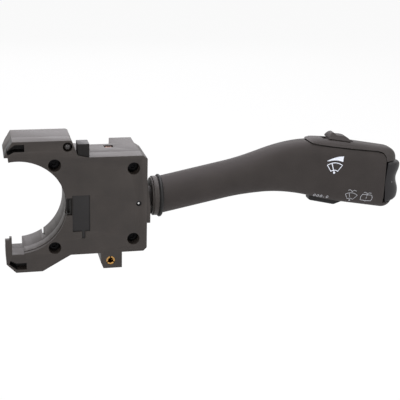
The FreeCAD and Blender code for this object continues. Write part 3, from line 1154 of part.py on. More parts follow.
strips = []
track_low = s.pivot_z + s.strip_bottom
track_high = s.pivot_z + s.strip_top
for number in range(3):
    left = s.pivot_x + s.slide_left + s.strip_first + s.strip_step * number
    strips.append(box(f"track_strip_{number}", (left, plate_front - s.strip_thick, track_low),
                      (left + s.strip_width, plate_front, track_high)))
    level = track_low - s.strip_row * number
    strips.append(box(f"track_run_{number}", (left, plate_front - s.strip_thick, level - s.strip_width),
                      (s.boss_left - s.strip_end, plate_front, level)))
    if number:
        strips.append(box(f"track_drop_{number}", (left, plate_front - s.strip_thick, level),
                          (left + s.strip_width, plate_front, track_low)))
keep(group("tracks", strips), "contact_tracks")
terminals = [
    box(f"terminal_{number}", (x - s.pin_half, plate_front, z - s.pin_half),
        (x + s.pin_half, pin_end, z + s.pin_half))
    for number, (x, z) in enumerate(pin_places)]
keep(group("terminals", terminals), "connector_pins")

leaf_left = s.pivot_x + s.wash_left + s.leaf_thick
leaf_right = s.pivot_x + s.wash_right - s.leaf_thick
leaf_z = s.pivot_z + s.wash_foot_low + s.leaf_lift
leaves = []
for number in range(2):
    low = leaf_z + s.leaf_step * number
    leaves.append(box(f"leaf_{number}", (leaf_left, plate_front - s.leaf_reach, low),
                      (leaf_right, plate_front, low + s.leaf_thick)))
keep(group("leaves", leaves), "washer_contacts")

slide = keep(new_body("wiper_slider", centre))
fork = s.ball_radius + s.slide_fork
prong = fork + s.slide_prong
pad(slide, "slide_profile", "YZ_Plane", s.slide_left, s.slide_right - s.slide_left, [
    (s.slide_front, -prong), (slide_carrier_front, -prong), (slide_carrier_front, -s.slide_carrier_half),
    (slide_rear, -s.slide_carrier_half), (slide_rear, s.slide_carrier_half),
    (slide_carrier_front, s.slide_carrier_half), (slide_carrier_front, prong), (s.slide_front, prong),
    (s.slide_front, fork), (slide_carrier_front, fork), (slide_carrier_front, -fork),
    (s.slide_front, -fork)])
slide_brush = keep(new_body("wiper_contacts", centre))
pad(slide_brush, "brush_strip", "XZ_Plane", slide_rear, s.brush_thick, rectangle(
    s.slide_left + s.leaf_thick, s.slide_right - s.leaf_thick, -s.slide_prong, s.slide_prong))

wash = keep(new_body("washer_slider", centre))
inner, outside = fork, fork + s.wash_prong
pad(wash, "wash_profile", "YZ_Plane", s.wash_left, s.wash_right - s.wash_left, [
    (-outside, s.wash_top), (-inner, s.wash_top), (-inner, s.wash_slot_low), (inner, s.wash_slot_low),
    (inner, s.wash_top), (outside, s.wash_top), (outside, s.wash_slot_low),
    (s.wash_foot_half, s.wash_slot_low), (s.wash_foot_half, s.wash_foot_low),
    (-s.wash_foot_half, s.wash_foot_low), (-s.wash_foot_half, s.wash_slot_low),
    (-outside, s.wash_slot_low)])

doc.recompute()
faults = [item.Name for item in doc.Objects if {"Invalid", "Error"} & set(item.State)]
for item in pieces:
    if item.Shape.isNull() or not item.Shape.isValid() or not item.Shape.Solids:
        faults.append(item.Label + " shape")
if faults:
    raise SystemExit("failed: " + ", ".join(faults))
os.makedirs("parts", exist_ok=True)
for item in pieces:
    item.Shape.exportStep(f"parts/{item.Label}.step")
print(len(pieces), "pieces")
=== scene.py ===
import json
import math

import bmesh
import bpy
from mathutils import Matrix, Vector
from mathutils.bvhtree import BVHTree

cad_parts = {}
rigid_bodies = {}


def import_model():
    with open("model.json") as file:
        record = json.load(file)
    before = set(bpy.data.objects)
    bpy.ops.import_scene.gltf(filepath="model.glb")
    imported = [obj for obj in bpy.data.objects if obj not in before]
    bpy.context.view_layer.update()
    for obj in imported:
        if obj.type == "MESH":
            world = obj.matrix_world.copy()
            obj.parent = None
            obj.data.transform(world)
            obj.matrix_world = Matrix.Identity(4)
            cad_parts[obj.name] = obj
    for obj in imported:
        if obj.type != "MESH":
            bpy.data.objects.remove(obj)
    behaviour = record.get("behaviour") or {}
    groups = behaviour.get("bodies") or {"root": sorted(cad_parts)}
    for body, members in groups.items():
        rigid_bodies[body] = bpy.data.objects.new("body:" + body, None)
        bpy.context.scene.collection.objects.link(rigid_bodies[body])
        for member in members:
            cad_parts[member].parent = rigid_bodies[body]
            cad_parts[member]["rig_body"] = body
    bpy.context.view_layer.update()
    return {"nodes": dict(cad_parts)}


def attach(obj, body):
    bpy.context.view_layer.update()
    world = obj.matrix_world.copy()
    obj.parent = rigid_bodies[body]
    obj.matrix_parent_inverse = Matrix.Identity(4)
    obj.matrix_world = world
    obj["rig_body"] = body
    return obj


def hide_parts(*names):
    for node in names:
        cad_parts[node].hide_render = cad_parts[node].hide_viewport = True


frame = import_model()

# The studio: the camera stands in front of the stalk, a little above it and to its left. The
# ground and the surroundings are white. Broad lamps hang overhead and behind, and two weaker ones
# stand at the front.
camera = bpy.data.objects.new("camera", bpy.data.cameras.new("camera"))
camera.data.lens = 84.845
camera.data.clip_start = 0.01
camera.location = (-0.017868, -0.434753, 0.147715)
camera.rotation_euler = [math.radians(turn) for turn in (71.7488, -1.669, -13.304)]
bpy.context.scene.collection.objects.link(camera)
bpy.context.scene.camera = camera
bpy.context.scene.view_settings.view_transform = "Standard"

lamp_target = Vector((0.09, 0.01, 0))
for name, place, size, power, tint in (
    ("lamp_above", (0.06, 0.12, 0.75), 0.9, 9.5, (0.97, 0.94, 1.0)),
    ("lamp_behind", (0.10, 1.00, 0.50), 0.9, 4.0, (0.97, 0.94, 1.0)),
    ("lamp_front", (-0.45, -0.80, 0.45), 0.6, 4.2, (1.0, 0.98, 0.96)),
    ("lamp_right", (0.62, -0.50, 0.30), 0.5, 1.9, (1.0, 1.0, 1.0)),
):
    lamp = bpy.data.objects.new(name, bpy.data.lights.new(name, "AREA"))
    lamp.data.size = size
    lamp.data.energy = power
    lamp.data.color = tint
    lamp.location = place
    lamp.rotation_euler = (lamp_target - lamp.location).to_track_quat("-Z", "Y").to_euler()
    bpy.context.scene.collection.objects.link(lamp)


def seen_directly(nodes, links):
    """A value of one where the camera, a reflection or clear material sees the surroundings."""
    path = nodes.new("ShaderNodeLightPath")
    seen = path.outputs["Is Camera Ray"]
    for ray in ("Is Glossy Ray", "Is Transmission Ray"):
        either = nodes.new("ShaderNodeMath")
        either.operation = "MAXIMUM"
        links.new(seen, either.inputs[0])
        links.new(path.outputs[ray], either.inputs[1])
        seen = either.outputs[0]
    return seen


room_light, room_seen = 0.22, 1.0
world = bpy.data.worlds.new("white_room")
world.use_nodes = True
bpy.context.scene.world = world
nodes, links = world.node_tree.nodes, world.node_tree.links
sky = nodes["Background"]
sky.inputs["Color"].default_value = (1, 1, 1, 1)
strength = nodes.new("ShaderNodeMapRange")
strength.inputs["To Min"].default_value = room_light
strength.inputs["To Max"].default_value = room_seen
links.new(seen_directly(nodes, links), strength.inputs["Value"])
links.new(strength.outputs["Result"], sky.inputs["Strength"])

paper_glow = 0.93
paper = bpy.data.materials.new("white_paper")
paper.use_nodes = True
nodes, links = paper.node_tree.nodes, paper.node_tree.links
matt = nodes["Principled BSDF"]
matt.inputs["Base Color"].default_value = (0.85, 0.85, 0.85, 1)
matt.inputs["Roughness"].default_value = 0.9
glow = nodes.new("ShaderNodeEmission")
glow.inputs["Color"].default_value = (1, 1, 1, 1)
share = nodes.new("ShaderNodeMath")
share.operation = "MULTIPLY"
share.inputs[1].default_value = paper_glow
links.new(seen_directly(nodes, links), share.inputs[0])
blend = nodes.new("ShaderNodeMixShader")
links.new(share.outputs[0], blend.inputs[0])
links.new(matt.outputs[0], blend.inputs[1])
links.new(glow.outputs[0], blend.inputs[2])
links.new(blend.outputs[0], nodes["Material Output"].inputs["Surface"])

floor_half, floor_place = 6, (0, 2, -0.12)
ground = bmesh.new()
bmesh.ops.create_grid(ground, x_segments=1, y_segments=1, size=floor_half)
bmesh.ops.translate(ground, verts=ground.verts, vec=floor_place)
floor = bpy.data.objects.new("floor", bpy.data.meshes.new("floor"))
ground.to_mesh(floor.data)
ground.free()
floor.data.materials.append(paper)
bpy.context.scene.collection.objects.link(floor)

# The housing: two C-shaped mouldings that close round the steering column and are screwed to each
# other. Dark brown-grey nylon with glass fibres, from finely spark-eroded moulds, so each corner
# has a small radius and the grain shows faint flow marks in the light.
mm = 0.001
case_radius = 0.28 * mm


def noise(nodes, links, vector, scale, detail):
    """Uneven spots from nought to one, placed by the piece's own coordinates."""
    spots = nodes.new("ShaderNodeTexNoise")
    spots.inputs["Scale"].default_value = scale
    spots.inputs["Detail"].default_value = detail
    links.new(vector, spots.inputs["Vector"])
    return spots.outputs["Fac"]


def vary(nodes, links, spots, colours, roughness):
    """Runs the colour and the roughness of a finish between two values by uneven spots."""
    shader = nodes["Principled BSDF"]
    tint = nodes.new("ShaderNodeValToRGB")
    for end, colour in zip(tint.color_ramp.elements, colours):
        end.color = [*colour, 1]
    links.new(spots, tint.inputs["Fac"])
    links.new(tint.outputs["Color"], shader.inputs["Base Color"])
    shine = nodes.new("ShaderNodeMapRange")
    shine.inputs["To Min"].default_value, shine.inputs["To Max"].default_value = roughness
    links.new(spots, shine.inputs["Value"])
    links.new(shine.outputs["Result"], shader.inputs["Roughness"])
    return tint.color_ramp.elements


def roughen(nodes, links, spots, strength, height):
    """Lifts the surface a little by uneven spots."""
    bump = nodes.new("ShaderNodeBump")
    bump.inputs["Strength"].default_value = strength
    bump.inputs["Distance"].default_value = height
    links.new(spots, bump.inputs["Height"])
    links.new(bump.outputs["Normal"], nodes["Principled BSDF"].inputs["Normal"])


def plastic(name, colour, roughness, grain, depth, mottle, gloss=0.5):
    """Moulded plastic: fine grain in the bump, slow cloudiness in its colour and its shine."""
    cloud_scale, cloud_start, cloud_end, shine_swing, grain_height = 90, 0.3, 0.72, 0.07, 0.1 * mm
    material = bpy.data.materials.new(name)
    material.use_nodes = True
    nodes, links = material.node_tree.nodes, material.node_tree.links
    nodes["Principled BSDF"].inputs["Specular IOR Level"].default_value = gloss
    place = nodes.new("ShaderNodeTexCoord").outputs["Object"]
    cloud = noise(nodes, links, place, cloud_scale, detail=6)
    shades = [[c * (1 + turn * mottle) for c in colour] for turn in (-1, 1)]
    low, high = vary(nodes, links, cloud, shades,
                     (roughness - shine_swing, roughness + shine_swing))
    low.position, high.position = cloud_start, cloud_end
    roughen(nodes, links, noise(nodes, links, place, grain, detail=3), depth, grain_height)
    return material


def finish_mesh(bm, name, material, body, stands_for=()):
    """Turns a bmesh into a piece of the object that rides on a body."""
    piece = bpy.data.objects.new(name, bpy.data.meshes.new(name))
    for face in bm.faces:
        face.smooth = True
    bm.to_mesh(piece.data)
    bm.free()
    piece.data.materials.append(material)
    bpy.context.scene.collection.objects.link(piece)
    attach(piece, body)
    if stands_for:
        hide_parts(*stands_for)
    return piece


def round_edges(piece, radius, segments=2, angle=30):
    """A small moulded radius on every edge sharper than an angle."""
    bevel = piece.modifiers.new("moulded_radius", "BEVEL")
    bevel.width = radius
    bevel.segments = segments
    bevel.limit_method = "ANGLE"
    bevel.angle_limit = math.radians(angle)
    bevel.harden_normals = True
    bevel.use_clamp_overlap = True
    bevel.miter_outer = "MITER_ARC"


def moulded_copy(node, name, material, radius):
    """A merged copy of a frame solid with flat faces joined up and its edges rounded."""
    flat_angle, same_place = math.radians(0.6), 0.002 * mm
    source = frame["nodes"][node]
    bm = bmesh.new()
    bm.from_mesh(source.data)
    bmesh.ops.remove_doubles(bm, verts=bm.verts, dist=same_place)
    bmesh.ops.dissolve_limit(bm, angle_limit=flat_angle, verts=bm.verts, edges=bm.edges)
    piece = finish_mesh(bm, name, material, source["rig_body"], (node,))
    round_edges(piece, radius)
    return piece


housing_nylon = plastic("housing_nylon", (0.030, 0.0245, 0.0215), roughness=0.50, grain=2600,
                        depth=0.35, mottle=0.16, gloss=0.36)
cover_piece = moulded_copy("front_cover", "front_cover_moulding", housing_nylon,
                           case_radius)
moulded_copy("rear_shell", "rear_shell_moulding", housing_nylon, case_radius)


# The two bent pockets in the cover, above and below the column's bore: narrow and deep, so that
# hardly any light comes out of them. Same moulding; their shade is painted in as a darker colour.
def tint_where(material, mask, colour):
    """Gives a finish another colour where a mask is one."""
    nodes, links = material.node_tree.nodes, material.node_tree.links
    mix = nodes.new("ShaderNodeMix")
    mix.data_type = "RGBA"
    mix.inputs["B"].default_value = (*colour, 1)
    links.new(mask, mix.inputs["Factor"])
    links.new(nodes["Color Ramp"].outputs["Color"], mix.inputs["A"])
    links.new(mix.outputs["Result"], nodes["Principled BSDF"].inputs["Base Color"])


pocket_line = [Vector(spot) for spot in ((3.2, 29.7), (-1.4, 29.6), (-4.0, 27.6))]
pocket_reach, pocket_mouth, pocket_deep = 1.95, 0.3, 6.3
# Painted shade: the dark colour given to the pockets' faces.
pocket_painted_shade = (0.0022, 0.0020, 0.0020)
pocket = cover_piece.data.attributes.new("pocket", "FLOAT", "FACE")
for face in cover_piece.data.polygons:
    middle = face.center / mm
    spot = Vector((middle.x, abs(middle.z)))
    gaps = []
    for first, second in zip(pocket_line, pocket_line[1:]):
        run = second - first
        share = min(max((spot - first).dot(run) / run.length_squared, 0), 1)
        gaps.append((first + run * share - spot).length)
    inside = min(gaps) < pocket_reach and pocket_mouth < middle.y < pocket_deep
    pocket.data[face.index].value = float(inside)
pocket_shade_mask = housing_nylon.node_tree.nodes.new("ShaderNodeAttribute")
pocket_shade_mask.attribute_name = "pocket"
# Paints the pockets' shade into the housing's colour.
tint_where(housing_nylon, pocket_shade_mask.outputs["Fac"], pocket_painted_shade)

# Small black parts in the housing: the thin cover in its recess, the spring catch in the bore's
# edge, the coupling block on top and the locating peg. They are unfilled nylon, darker and
# smoother than the case, and snap or slide into it.
black_nylon = plastic("black_nylon", (0.0085, 0.0075, 0.0070), roughness=0.42, grain=1800,
                      depth=0.12, mottle=0.12, gloss=0.20)
cover_nylon = plastic("cover_nylon", (0.0130, 0.0118, 0.0122), roughness=0.44, grain=1800,
                      depth=0.15, mottle=0.14, gloss=0.3)
peg_nylon = plastic("peg_nylon", (0.016, 0.0140, 0.0135), roughness=0.26, grain=1800,
                    depth=0.08, mottle=0.10)
moulded_copy("slot_cover", "slot_cover_plate", cover_nylon, 0.15 * mm)
moulded_copy("bore_catch", "bore_catch_frame", black_nylon, 0.2 * mm)
moulded_copy("coupling_latch", "coupling_block", black_nylon, 0.15 * mm)
moulded_copy("locating_peg", "locating_pin", peg_nylon, 0.1 * mm)


# Metal in the housing: the knurled brass insert, the case screws deep in their wells, the pivot
# pins and the folded copper earth contact. Turned, drawn or folded, with fine tool marks, and
# pressed or screwed into the nylon.
def metal(name, colour, roughness, marks):
    """Worked metal with fine uneven scratches and slightly uneven shine."""
    scratch_scale, scratch_stretch, scratch_height = 1500, (1, 6, 1), 0.03 * mm
    dark_share, smoother, rougher = 0.72, 0.08, 0.12
    material = bpy.data.materials.new(name)
    material.use_nodes = True
    nodes, links = material.node_tree.nodes, material.node_tree.links
    nodes["Principled BSDF"].inputs["Metallic"].default_value = 1.0
    stretch = nodes.new("ShaderNodeMapping")
    stretch.inputs["Scale"].default_value = scratch_stretch
    links.new(nodes.new("ShaderNodeTexCoord").outputs["Object"], stretch.inputs["Vector"])
    scratches = noise(nodes, links, stretch.outputs["Vector"], scratch_scale, detail=4)
    vary(nodes, links, scratches, ([c * dark_share for c in colour], colour),
         (roughness - smoother, roughness + rougher))
    roughen(nodes, links, scratches, marks, scratch_height)
    return material


brass = metal("turned_brass", (0.55, 0.31, 0.10), roughness=0.24, marks=0.3)
steel = metal("bright_steel", (0.56, 0.56, 0.57), roughness=0.32, marks=0.25)
# The screws' steel is darker than blackening alone: its colour also paints the shade of their deep
# wells.
dark_steel = metal("blackened_steel_and_well_shade", (0.016, 0.016, 0.017), roughness=0.5, marks=0.2)
copper = metal("bare_copper", (0.93, 0.58, 0.47), roughness=0.34, marks=0.25)
# The pins' dark colour is partly painted shade of the hole they sit in.
pin_steel = metal("pin_steel", (0.022, 0.022, 0.023), roughness=0.4, marks=0.2)

# The end of the pivot pins that shows in the cover: blackened steel, darker still as painted shade
# of the hole it sits in, with a painted highlight on its drilled middle.
pin_x, pin_z, highlight_reach, highlight_edge = 58.3, -0.15, 0.5, 0.4
# Painted highlight: the light colour given to the pin's middle.
pin_painted_highlight = (0.62, 0.62, 0.62)
nodes, links = pin_steel.node_tree.nodes, pin_steel.node_tree.links
pin_spot = nodes.new("ShaderNodeMapping")
pin_spot.inputs["Location"].default_value = (-pin_x * mm, 0, -pin_z * mm)
pin_spot.inputs["Scale"].default_value = (1, 0, 1)
links.new(nodes["Texture Coordinate"].outputs["Object"], pin_spot.inputs["Vector"])
pin_reach = nodes.new("ShaderNodeVectorMath")
pin_reach.operation = "LENGTH"
links.new(pin_spot.outputs["Vector"], pin_reach.inputs[0])
pin_highlight_mask = nodes.new("ShaderNodeMapRange")
pin_highlight_mask.inputs["From Min"].default_value = highlight_reach * mm
pin_highlight_mask.inputs["From Max"].default_value = highlight_edge * mm
links.new(pin_reach.outputs["Value"], pin_highlight_mask.inputs["Value"])
# Paints the highlight into the pin's colour.
tint_where(pin_steel, pin_highlight_mask.outputs["Result"], pin_painted_highlight)

moulded_copy("brass_insert", "brass_bush", brass, 0.12 * mm)
moulded_copy("case_screws", "case_screw_set", dark_steel, 0.15 * mm)
moulded_copy("pivot_pins", "pivot_pin_pair", pin_steel, 0.15 * mm)
moulded_copy("earth_contact", "earth_contact_strip", copper, 0.08 * mm)


# The mechanism that the closed housing hides: natural acetal gimbal, slides, detent and plungers,
# steel springs and pins, and the contact board with its tracks, contacts and plug pins. It is
# laid into the rear shell before the cover goes on.
def dress(node, material):
    """Gives a frame solid its finished material."""
    frame["nodes"][node].data.materials.clear()
    frame["nodes"][node].data.materials.append(material)


acetal = plastic("natural_acetal", (0.70, 0.68, 0.62), roughness=0.35, grain=900, depth=0.08,
                 mottle=0.03)
laminate = plastic("green_laminate", (0.022, 0.115, 0.05), roughness=0.38, grain=1400,
                   depth=0.15, mottle=0.15)
for material, solids in (
    (acetal, ("gimbal_yoke", "sweep_detent_track", "sweep_plunger", "pull_plunger",
              "wiper_slider", "washer_slider")),
    (steel, ("cross_pin", "sweep_spring", "pull_spring", "rocker_pin")),
    (copper, ("contact_tracks", "connector_pins", "washer_contacts", "wiper_contacts",
              "knob_brush")),
    (laminate, ("contact_board", "key_board")),
    (black_nylon, ("rocker_switches", "reset_switch", "head_carrier")),
    (housing_nylon, ("lever_arm",)),
):
    for node in solids:
        dress(node, material)

# The collar behind the handle and the rubber ring in its groove, which seals the column cover.
# The collar is moulded like the housing. The ring and the wires' sleeve are matt black rubber
# with a fine bloom.
ring_rubber = plastic("ring_rubber", (0.006, 0.006, 0.006), roughness=0.62, grain=1200,
                      depth=0.25, mottle=0.25, gloss=0.35)
moulded_copy("lever_collar", "collar_ring", housing_nylon, 0.2 * mm)
dress("root_seal", ring_rubber)
dress("lever_harness", ring_rubber)

# The handle: a front and a rear shell that meet in a fine seam along the middle, and a trim strip
# let into the top of the head. All three are satin plastic with a close leather-like grain, and
# clip onto the lever's arm.
handle_satin = plastic("handle_satin", (0.0385, 0.0335, 0.0315), roughness=0.60, grain=2100,
                       depth=0.5, mottle=0.10, gloss=0.14)
strip_satin = plastic("strip_satin", (0.036, 0.031, 0.029), roughness=0.54, grain=2100,
                      depth=0.5, mottle=0.10, gloss=0.24)
tube_start, bend_start, bend_end, handle_end = 71.4, 122.0, 150.0, 195.7
morph_start, morph_end, nose_start = 104.0, 164.0, 186.0
tube_radius, half_thick, half_high, squareness = 9.5, 7.7, 15.6, 4.0
rise_angle, fall_angle, lean_angle = 13.2, 9.6, 5.0
top_corner, under_corner, nose_width = 6.0, 8.0, 7.75
root_y, root_z = 12.0, 0.2
rise, fall, lean = (math.tan(math.radians(angle))
                    for angle in (rise_angle, fall_angle, lean_angle))


def handle_centre(x):
    """The middle of the handle's section at a station along the lever."""
    straight = min(x, bend_start) - tube_start
    bent = min(max(x - bend_start, 0), bend_end - bend_start)
    turn = bent * bent / (2 * (bend_end - bend_start))
    y = root_y - lean * (straight + bent - turn)
    z = root_z + rise * (straight + bent) - (rise + fall) * turn - fall * max(x - bend_end, 0)
    return y, z


def handle_half(x):
    """Half thickness, half height and squareness of the section at a station."""
    share = min(max((x - morph_start) / (morph_end - morph_start), 0), 1)
    blend = share * share * (3 - 2 * share)
    return (tube_radius + (half_thick - tube_radius) * blend,
            tube_radius + (half_high - tube_radius) * blend, 2 + (squareness - 2) * blend)


def corner_drop(x, radius):
    """How far a rounded end corner lowers the outline at a station."""
    inside = x - (handle_end - radius)
    return radius - math.sqrt(max(radius * radius - inside * inside, 0)) if inside > 0 else 0


def handle_point(x, angle):
    """A point of the handle's skin, at an angle round the section from the rear to the top."""
    y, z = handle_centre(x)
    half_y, half_z, power = handle_half(x)
    across, up = math.cos(angle), math.sin(angle)
    if x > nose_start:
        share = (x - nose_start) / (handle_end - nose_start)
        half_y = min(half_y, nose_width * math.sqrt(1 - share ** 2))
    half_z -= corner_drop(x, top_corner if up > 0 else under_corner)
    reach = (abs(across / half_y) ** power + abs(up / half_z) ** power) ** (-1 / power)
    return Vector((x, y + reach * across, z + reach * up)) * mm


def loft(bm, segments, stations, point_at):
    """Extrudes a ring through stations and closes its far end. Returns the first ring's edges."""
    own_angle = bm.verts.layers.float.new("own_angle")
    for vert in bmesh.ops.create_circle(bm, segments=segments, radius=1)["verts"]:
        vert[own_angle] = math.atan2(vert.co.y, vert.co.x)
        vert.co = point_at(stations[0], vert[own_angle])
    first_ring = edges = list(bm.edges)
    for station in stations[1:]:
        grown = bmesh.ops.extrude_edge_only(bm, edges=edges)["geom"]
        edges = [item for item in grown
                 if isinstance(item, bmesh.types.BMEdge) and len(item.link_faces) == 1]
        for vert in (item for item in grown if isinstance(item, bmesh.types.BMVert)):
            vert.co = point_at(station, vert[own_angle])
    bmesh.ops.edgeloop_fill(bm, edges=edges)
    return first_ring


# The skin of the two shells, and the same skin raised for the strip, which runs up from its tip.
skin_segments, tube_steps, nose_steps, end_short = 128, 76, 22, 0.1
stations = [tube_start + (nose_start - tube_start) * step / tube_steps
            for step in range(tube_steps + 1)]
stations += [nose_start + (handle_end - end_short - nose_start)
             * math.sin(math.pi / 2 * step / nose_steps) for step in range(1, nose_steps + 1)]
skin = bmesh.new()
loft(skin, skin_segments, stations, handle_point)

strip_proud, tip_start, tip_end = 1.4, 144.8, 149.2
strip_skin = skin.copy()
for vert in strip_skin.verts:
    ramp = min(max((vert.co.x / mm - tip_start) / (tip_end - tip_start), 0), 1)
    vert.co.z += strip_proud * ramp * (2 - ramp) * mm

# The openings: a slot for the knob in the strip and the shells, a slot for the key under the head,
# and the window in its end for the rocker.
head_y = handle_centre(handle_end)[0]
knob_x, key_x, key_forward = 162.5, 157.6, 0.8
slope = math.radians(fall_angle)
along = Vector((math.cos(slope), 0, -math.sin(slope)))
upward = Vector((math.sin(slope), 0, math.cos(slope)))


def head_line(x, side):
    """A point of the head's crown (side 1) or underside (side -1), in millimetres."""
    level = handle_centre(bend_end)[1] - fall * (x - bend_end)
    return Vector((x, head_y, level + side * half_high))


def slice_faces(bm, wanted, point, normal):
    """Cuts the faces whose middle is wanted along a plane. Points are in millimetres."""
    faces = [face for face in bm.faces if wanted(face.calc_center_median() / mm)]
    around = dict.fromkeys(part for face in faces for part in (*face.edges, *face.verts))
    bmesh.ops.bisect_plane(bm, geom=[*faces, *around], dist=0.01 * mm,
                           plane_co=Vector(point) * mm, plane_no=Vector(normal))


def open_slot(bm, middle, half_length, half_width, deep):
    """Cuts a four-sided opening square to the head's slope and takes its faces out."""
    margin = 3

    def near(point):
        return (abs((point - middle).dot(along)) < half_length + margin
                and abs((point - middle).dot(upward)) < deep)

    for side in (-1, 1):
        slice_faces(bm, near, middle + along * side * half_length, along)
        slice_faces(bm, near, middle + Vector((0, side * half_width, 0)), (0, 1, 0))
    gone = [face for face in bm.faces if near(face.calc_center_median() / mm)
            and abs((face.calc_center_median() / mm - middle).dot(along)) < half_length
            and abs((face.calc_center_median() / mm - middle).y) < half_width]
    bmesh.ops.delete(bm, geom=gone, context="FACES")


knob_seat = head_line(knob_x, 1) + Vector((0, 0, strip_proud))
key_seat = head_line(key_x, -1) - Vector((0, key_forward, 0))
key_slot_back = 0.45
open_slot(skin, head_line(knob_x, 1), half_length=8.5, half_width=2.6, deep=3.0)
open_slot(strip_skin, knob_seat, half_length=8.5, half_width=2.6, deep=3.0)
open_slot(skin, key_seat - along * key_slot_back, half_length=9.6, half_width=2.7, deep=4.0)

window_left, window_low, window_high = 187.9, -6.1, 16.2
near_cut = 2
slice_faces(skin, lambda p: abs(p.x - window_left) < near_cut, (window_left, 0, 0), (1, 0, 0))
for level in (window_low, window_high):
    slice_faces(skin, lambda p: p.x > window_left, (0, 0, level), (0, 0, 1))
bmesh.ops.delete(skin, context="FACES", geom=[
    face for face in skin.faces if face.calc_center_median().x > window_left * mm
    and window_low * mm < face.calc_center_median().z < window_high * mm])

# The seam between the strip and the shells, which steps down at the end to the rocker's window.
strip_groove, end_groove, end_groove_start = 0.65, 0.35, 188
seam = [(145.0, 0.1), (147.2, -0.9), (152.5, -1.75), (158.0, -2.1), (164.4, -2.15),
        (171.0, -1.95), (183.5, -1.35), (186.2, -1.8)]
seam_points = [Vector((x, 0, handle_centre(x)[1] + handle_half(x)[1] + drop)) for x, drop in seam]
seam_points += [Vector((187.7, 0, 18.7)), Vector((188.2, 0, window_high)),
                Vector((200, 0, window_high))]
strip_edge = [point + Vector((0, 0, strip_groove if point.x < end_groove_start else end_groove))
              for point in seam_points]


def cut_along(bm, line):
    """Cuts a skin along the seam between the strip and the shells."""
    overlap, seam_floor = 0.5, 8
    for first, second in zip(line, line[1:]):
        slice_faces(bm, lambda p: abs(p.x - second.x) < near_cut and p.z > 0,
                    (second.x, 0, 0), (1, 0, 0))
        slice_faces(bm, lambda p: first.x - overlap < p.x < second.x + overlap
                    and p.z > seam_floor, first, (second - first).cross(Vector((0, 1, 0))))


def above(point, line):
    """True for a place on the trim strip's side of a seam."""
    for first, second in zip(line, line[1:]):
        if first.x <= point.x <= second.x:
            run = second - first
            return point.z > first.z + run.z * (point.x - first.x) / run.x
    return False


def in_front(point):
    """True for a place on the front shell's side of the parting line."""
    return point.y < handle_centre(point.x)[0]


cut_along(skin, seam_points)
cut_along(strip_skin, strip_edge)


def shell_of(source, name, wanted, stands_for, material=handle_satin):
    """One moulding of the handle: its share of a skin, given a wall and soft edges. Its points
    are put in order along a line before they are merged, so that each run merges the same ones."""
    wall_thick, edge_radius, same_place = 1.9 * mm, 0.22 * mm, 0.03 * mm
    sorting_line = Vector((1.0, 0.37, 0.61))
    bm = source.copy()
    bmesh.ops.delete(bm, context="FACES", geom=[
        face for face in bm.faces if not wanted(face.calc_center_median() / mm)])
    for parts, middle in ((bm.verts, lambda vert: vert.co),
                          (bm.edges, lambda edge: edge.verts[0].co + edge.verts[1].co),
                          (bm.faces, lambda face: face.calc_center_median())):
        parts.sort(key=lambda part: middle(part).dot(sorting_line))
    bmesh.ops.remove_doubles(bm, verts=bm.verts, dist=same_place)
    bmesh.ops.recalc_face_normals(bm, faces=bm.faces)
    piece = finish_mesh(bm, name, material, "lever", stands_for)
    wall = piece.modifiers.new("wall", "SOLIDIFY")
    wall.thickness = wall_thick
    wall.offset = -1
    round_edges(piece, edge_radius, angle=50)
    return piece


front_shell = shell_of(skin, "handle_front", lambda p: not above(p, seam_points) and in_front(p),
                       ("handle_front_shell",))
shell_of(skin, "handle_rear", lambda p: not above(p, seam_points) and not in_front(p),
         ("handle_rear_shell",))
shell_of(strip_skin, "top_strip", lambda p: above(p, strip_edge), ("trim_strip",), strip_satin)
skin.free()
strip_skin.free()

# The interval slide knob, satin plastic, whose stem runs in a slot of the trim strip, and the
# reset key, smooth black plastic, which a wider foot keeps in its slot under the head. Both are
# moulded with large radii for the finger.
soft_black = plastic("soft_black", (0.007, 0.0065, 0.0065), roughness=0.42, grain=1500,
                     depth=0.2, mottle=0.12, gloss=0.25)


def head_piece(name, profile, half_width, seat, foot, material, node, radius, taper=0.0):
    """A control cut from its side profile, in millimetres along and above the head's slope."""
    bm = bmesh.new()
    for outline, half in ((profile, half_width), foot):
        spots = [seat + along * u + upward * v for u, v in outline]
        verts = [bm.verts.new((spot - Vector((0, half, 0))) * mm) for spot in spots]
        side = bm.faces.new(verts)
        grown = bmesh.ops.extrude_face_region(bm, geom=[side])["geom"]
        moved = [item for item in grown if isinstance(item, bmesh.types.BMVert)]
        bmesh.ops.translate(bm, verts=moved, vec=(0, 2 * half * mm, 0))
    for vert in bm.verts:
        height = max((vert.co / mm - seat).dot(upward), 0)
        vert.co.y = seat.y * mm + (vert.co.y - seat.y * mm) * (1 - taper * height)
    bmesh.ops.recalc_face_normals(bm, faces=bm.faces)
    piece = finish_mesh(bm, name, material, frame["nodes"][node]["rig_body"], (node,))
    round_edges(piece, radius, segments=3, angle=18)


knob_half, knob_foot_half, knob_radius, knob_taper = 4.2, 2.3, 0.35 * mm, 0.15
knob_profile = [(-5.9, 0.0), (-5.75, 1.1), (-5.35, 2.1), (-4.7, 2.9), (-3.95, 3.3), (-3.3, 3.3),
                (-2.7, 2.9), (-2.1, 2.5), (-1.3, 2.2), (0.0, 2.3), (1.3, 2.4), (2.5, 2.35),
                (3.6, 2.15), (4.6, 1.75), (5.5, 1.15), (6.2, 0.5), (6.6, 0.0)]
knob_foot = [(-5.7, -4.0), (6.0, -4.0), (6.0, -0.1), (-5.7, -0.1)]
head_piece("interval_slide_knob", knob_profile, knob_half, knob_seat,
           (knob_foot, knob_foot_half), strip_satin, "interval_knob",
           knob_radius, knob_taper)
key_half, key_foot_half, key_radius = 2.4, 3.0, 0.3 * mm
key_profile = [(-9.6, 3.0), (-9.6, -0.6), (-9.3, -1.15), (-8.4, -1.4), (4.2, -2.05),
               (5.1, -1.95), (8.7, 0.0), (8.7, 3.0)]
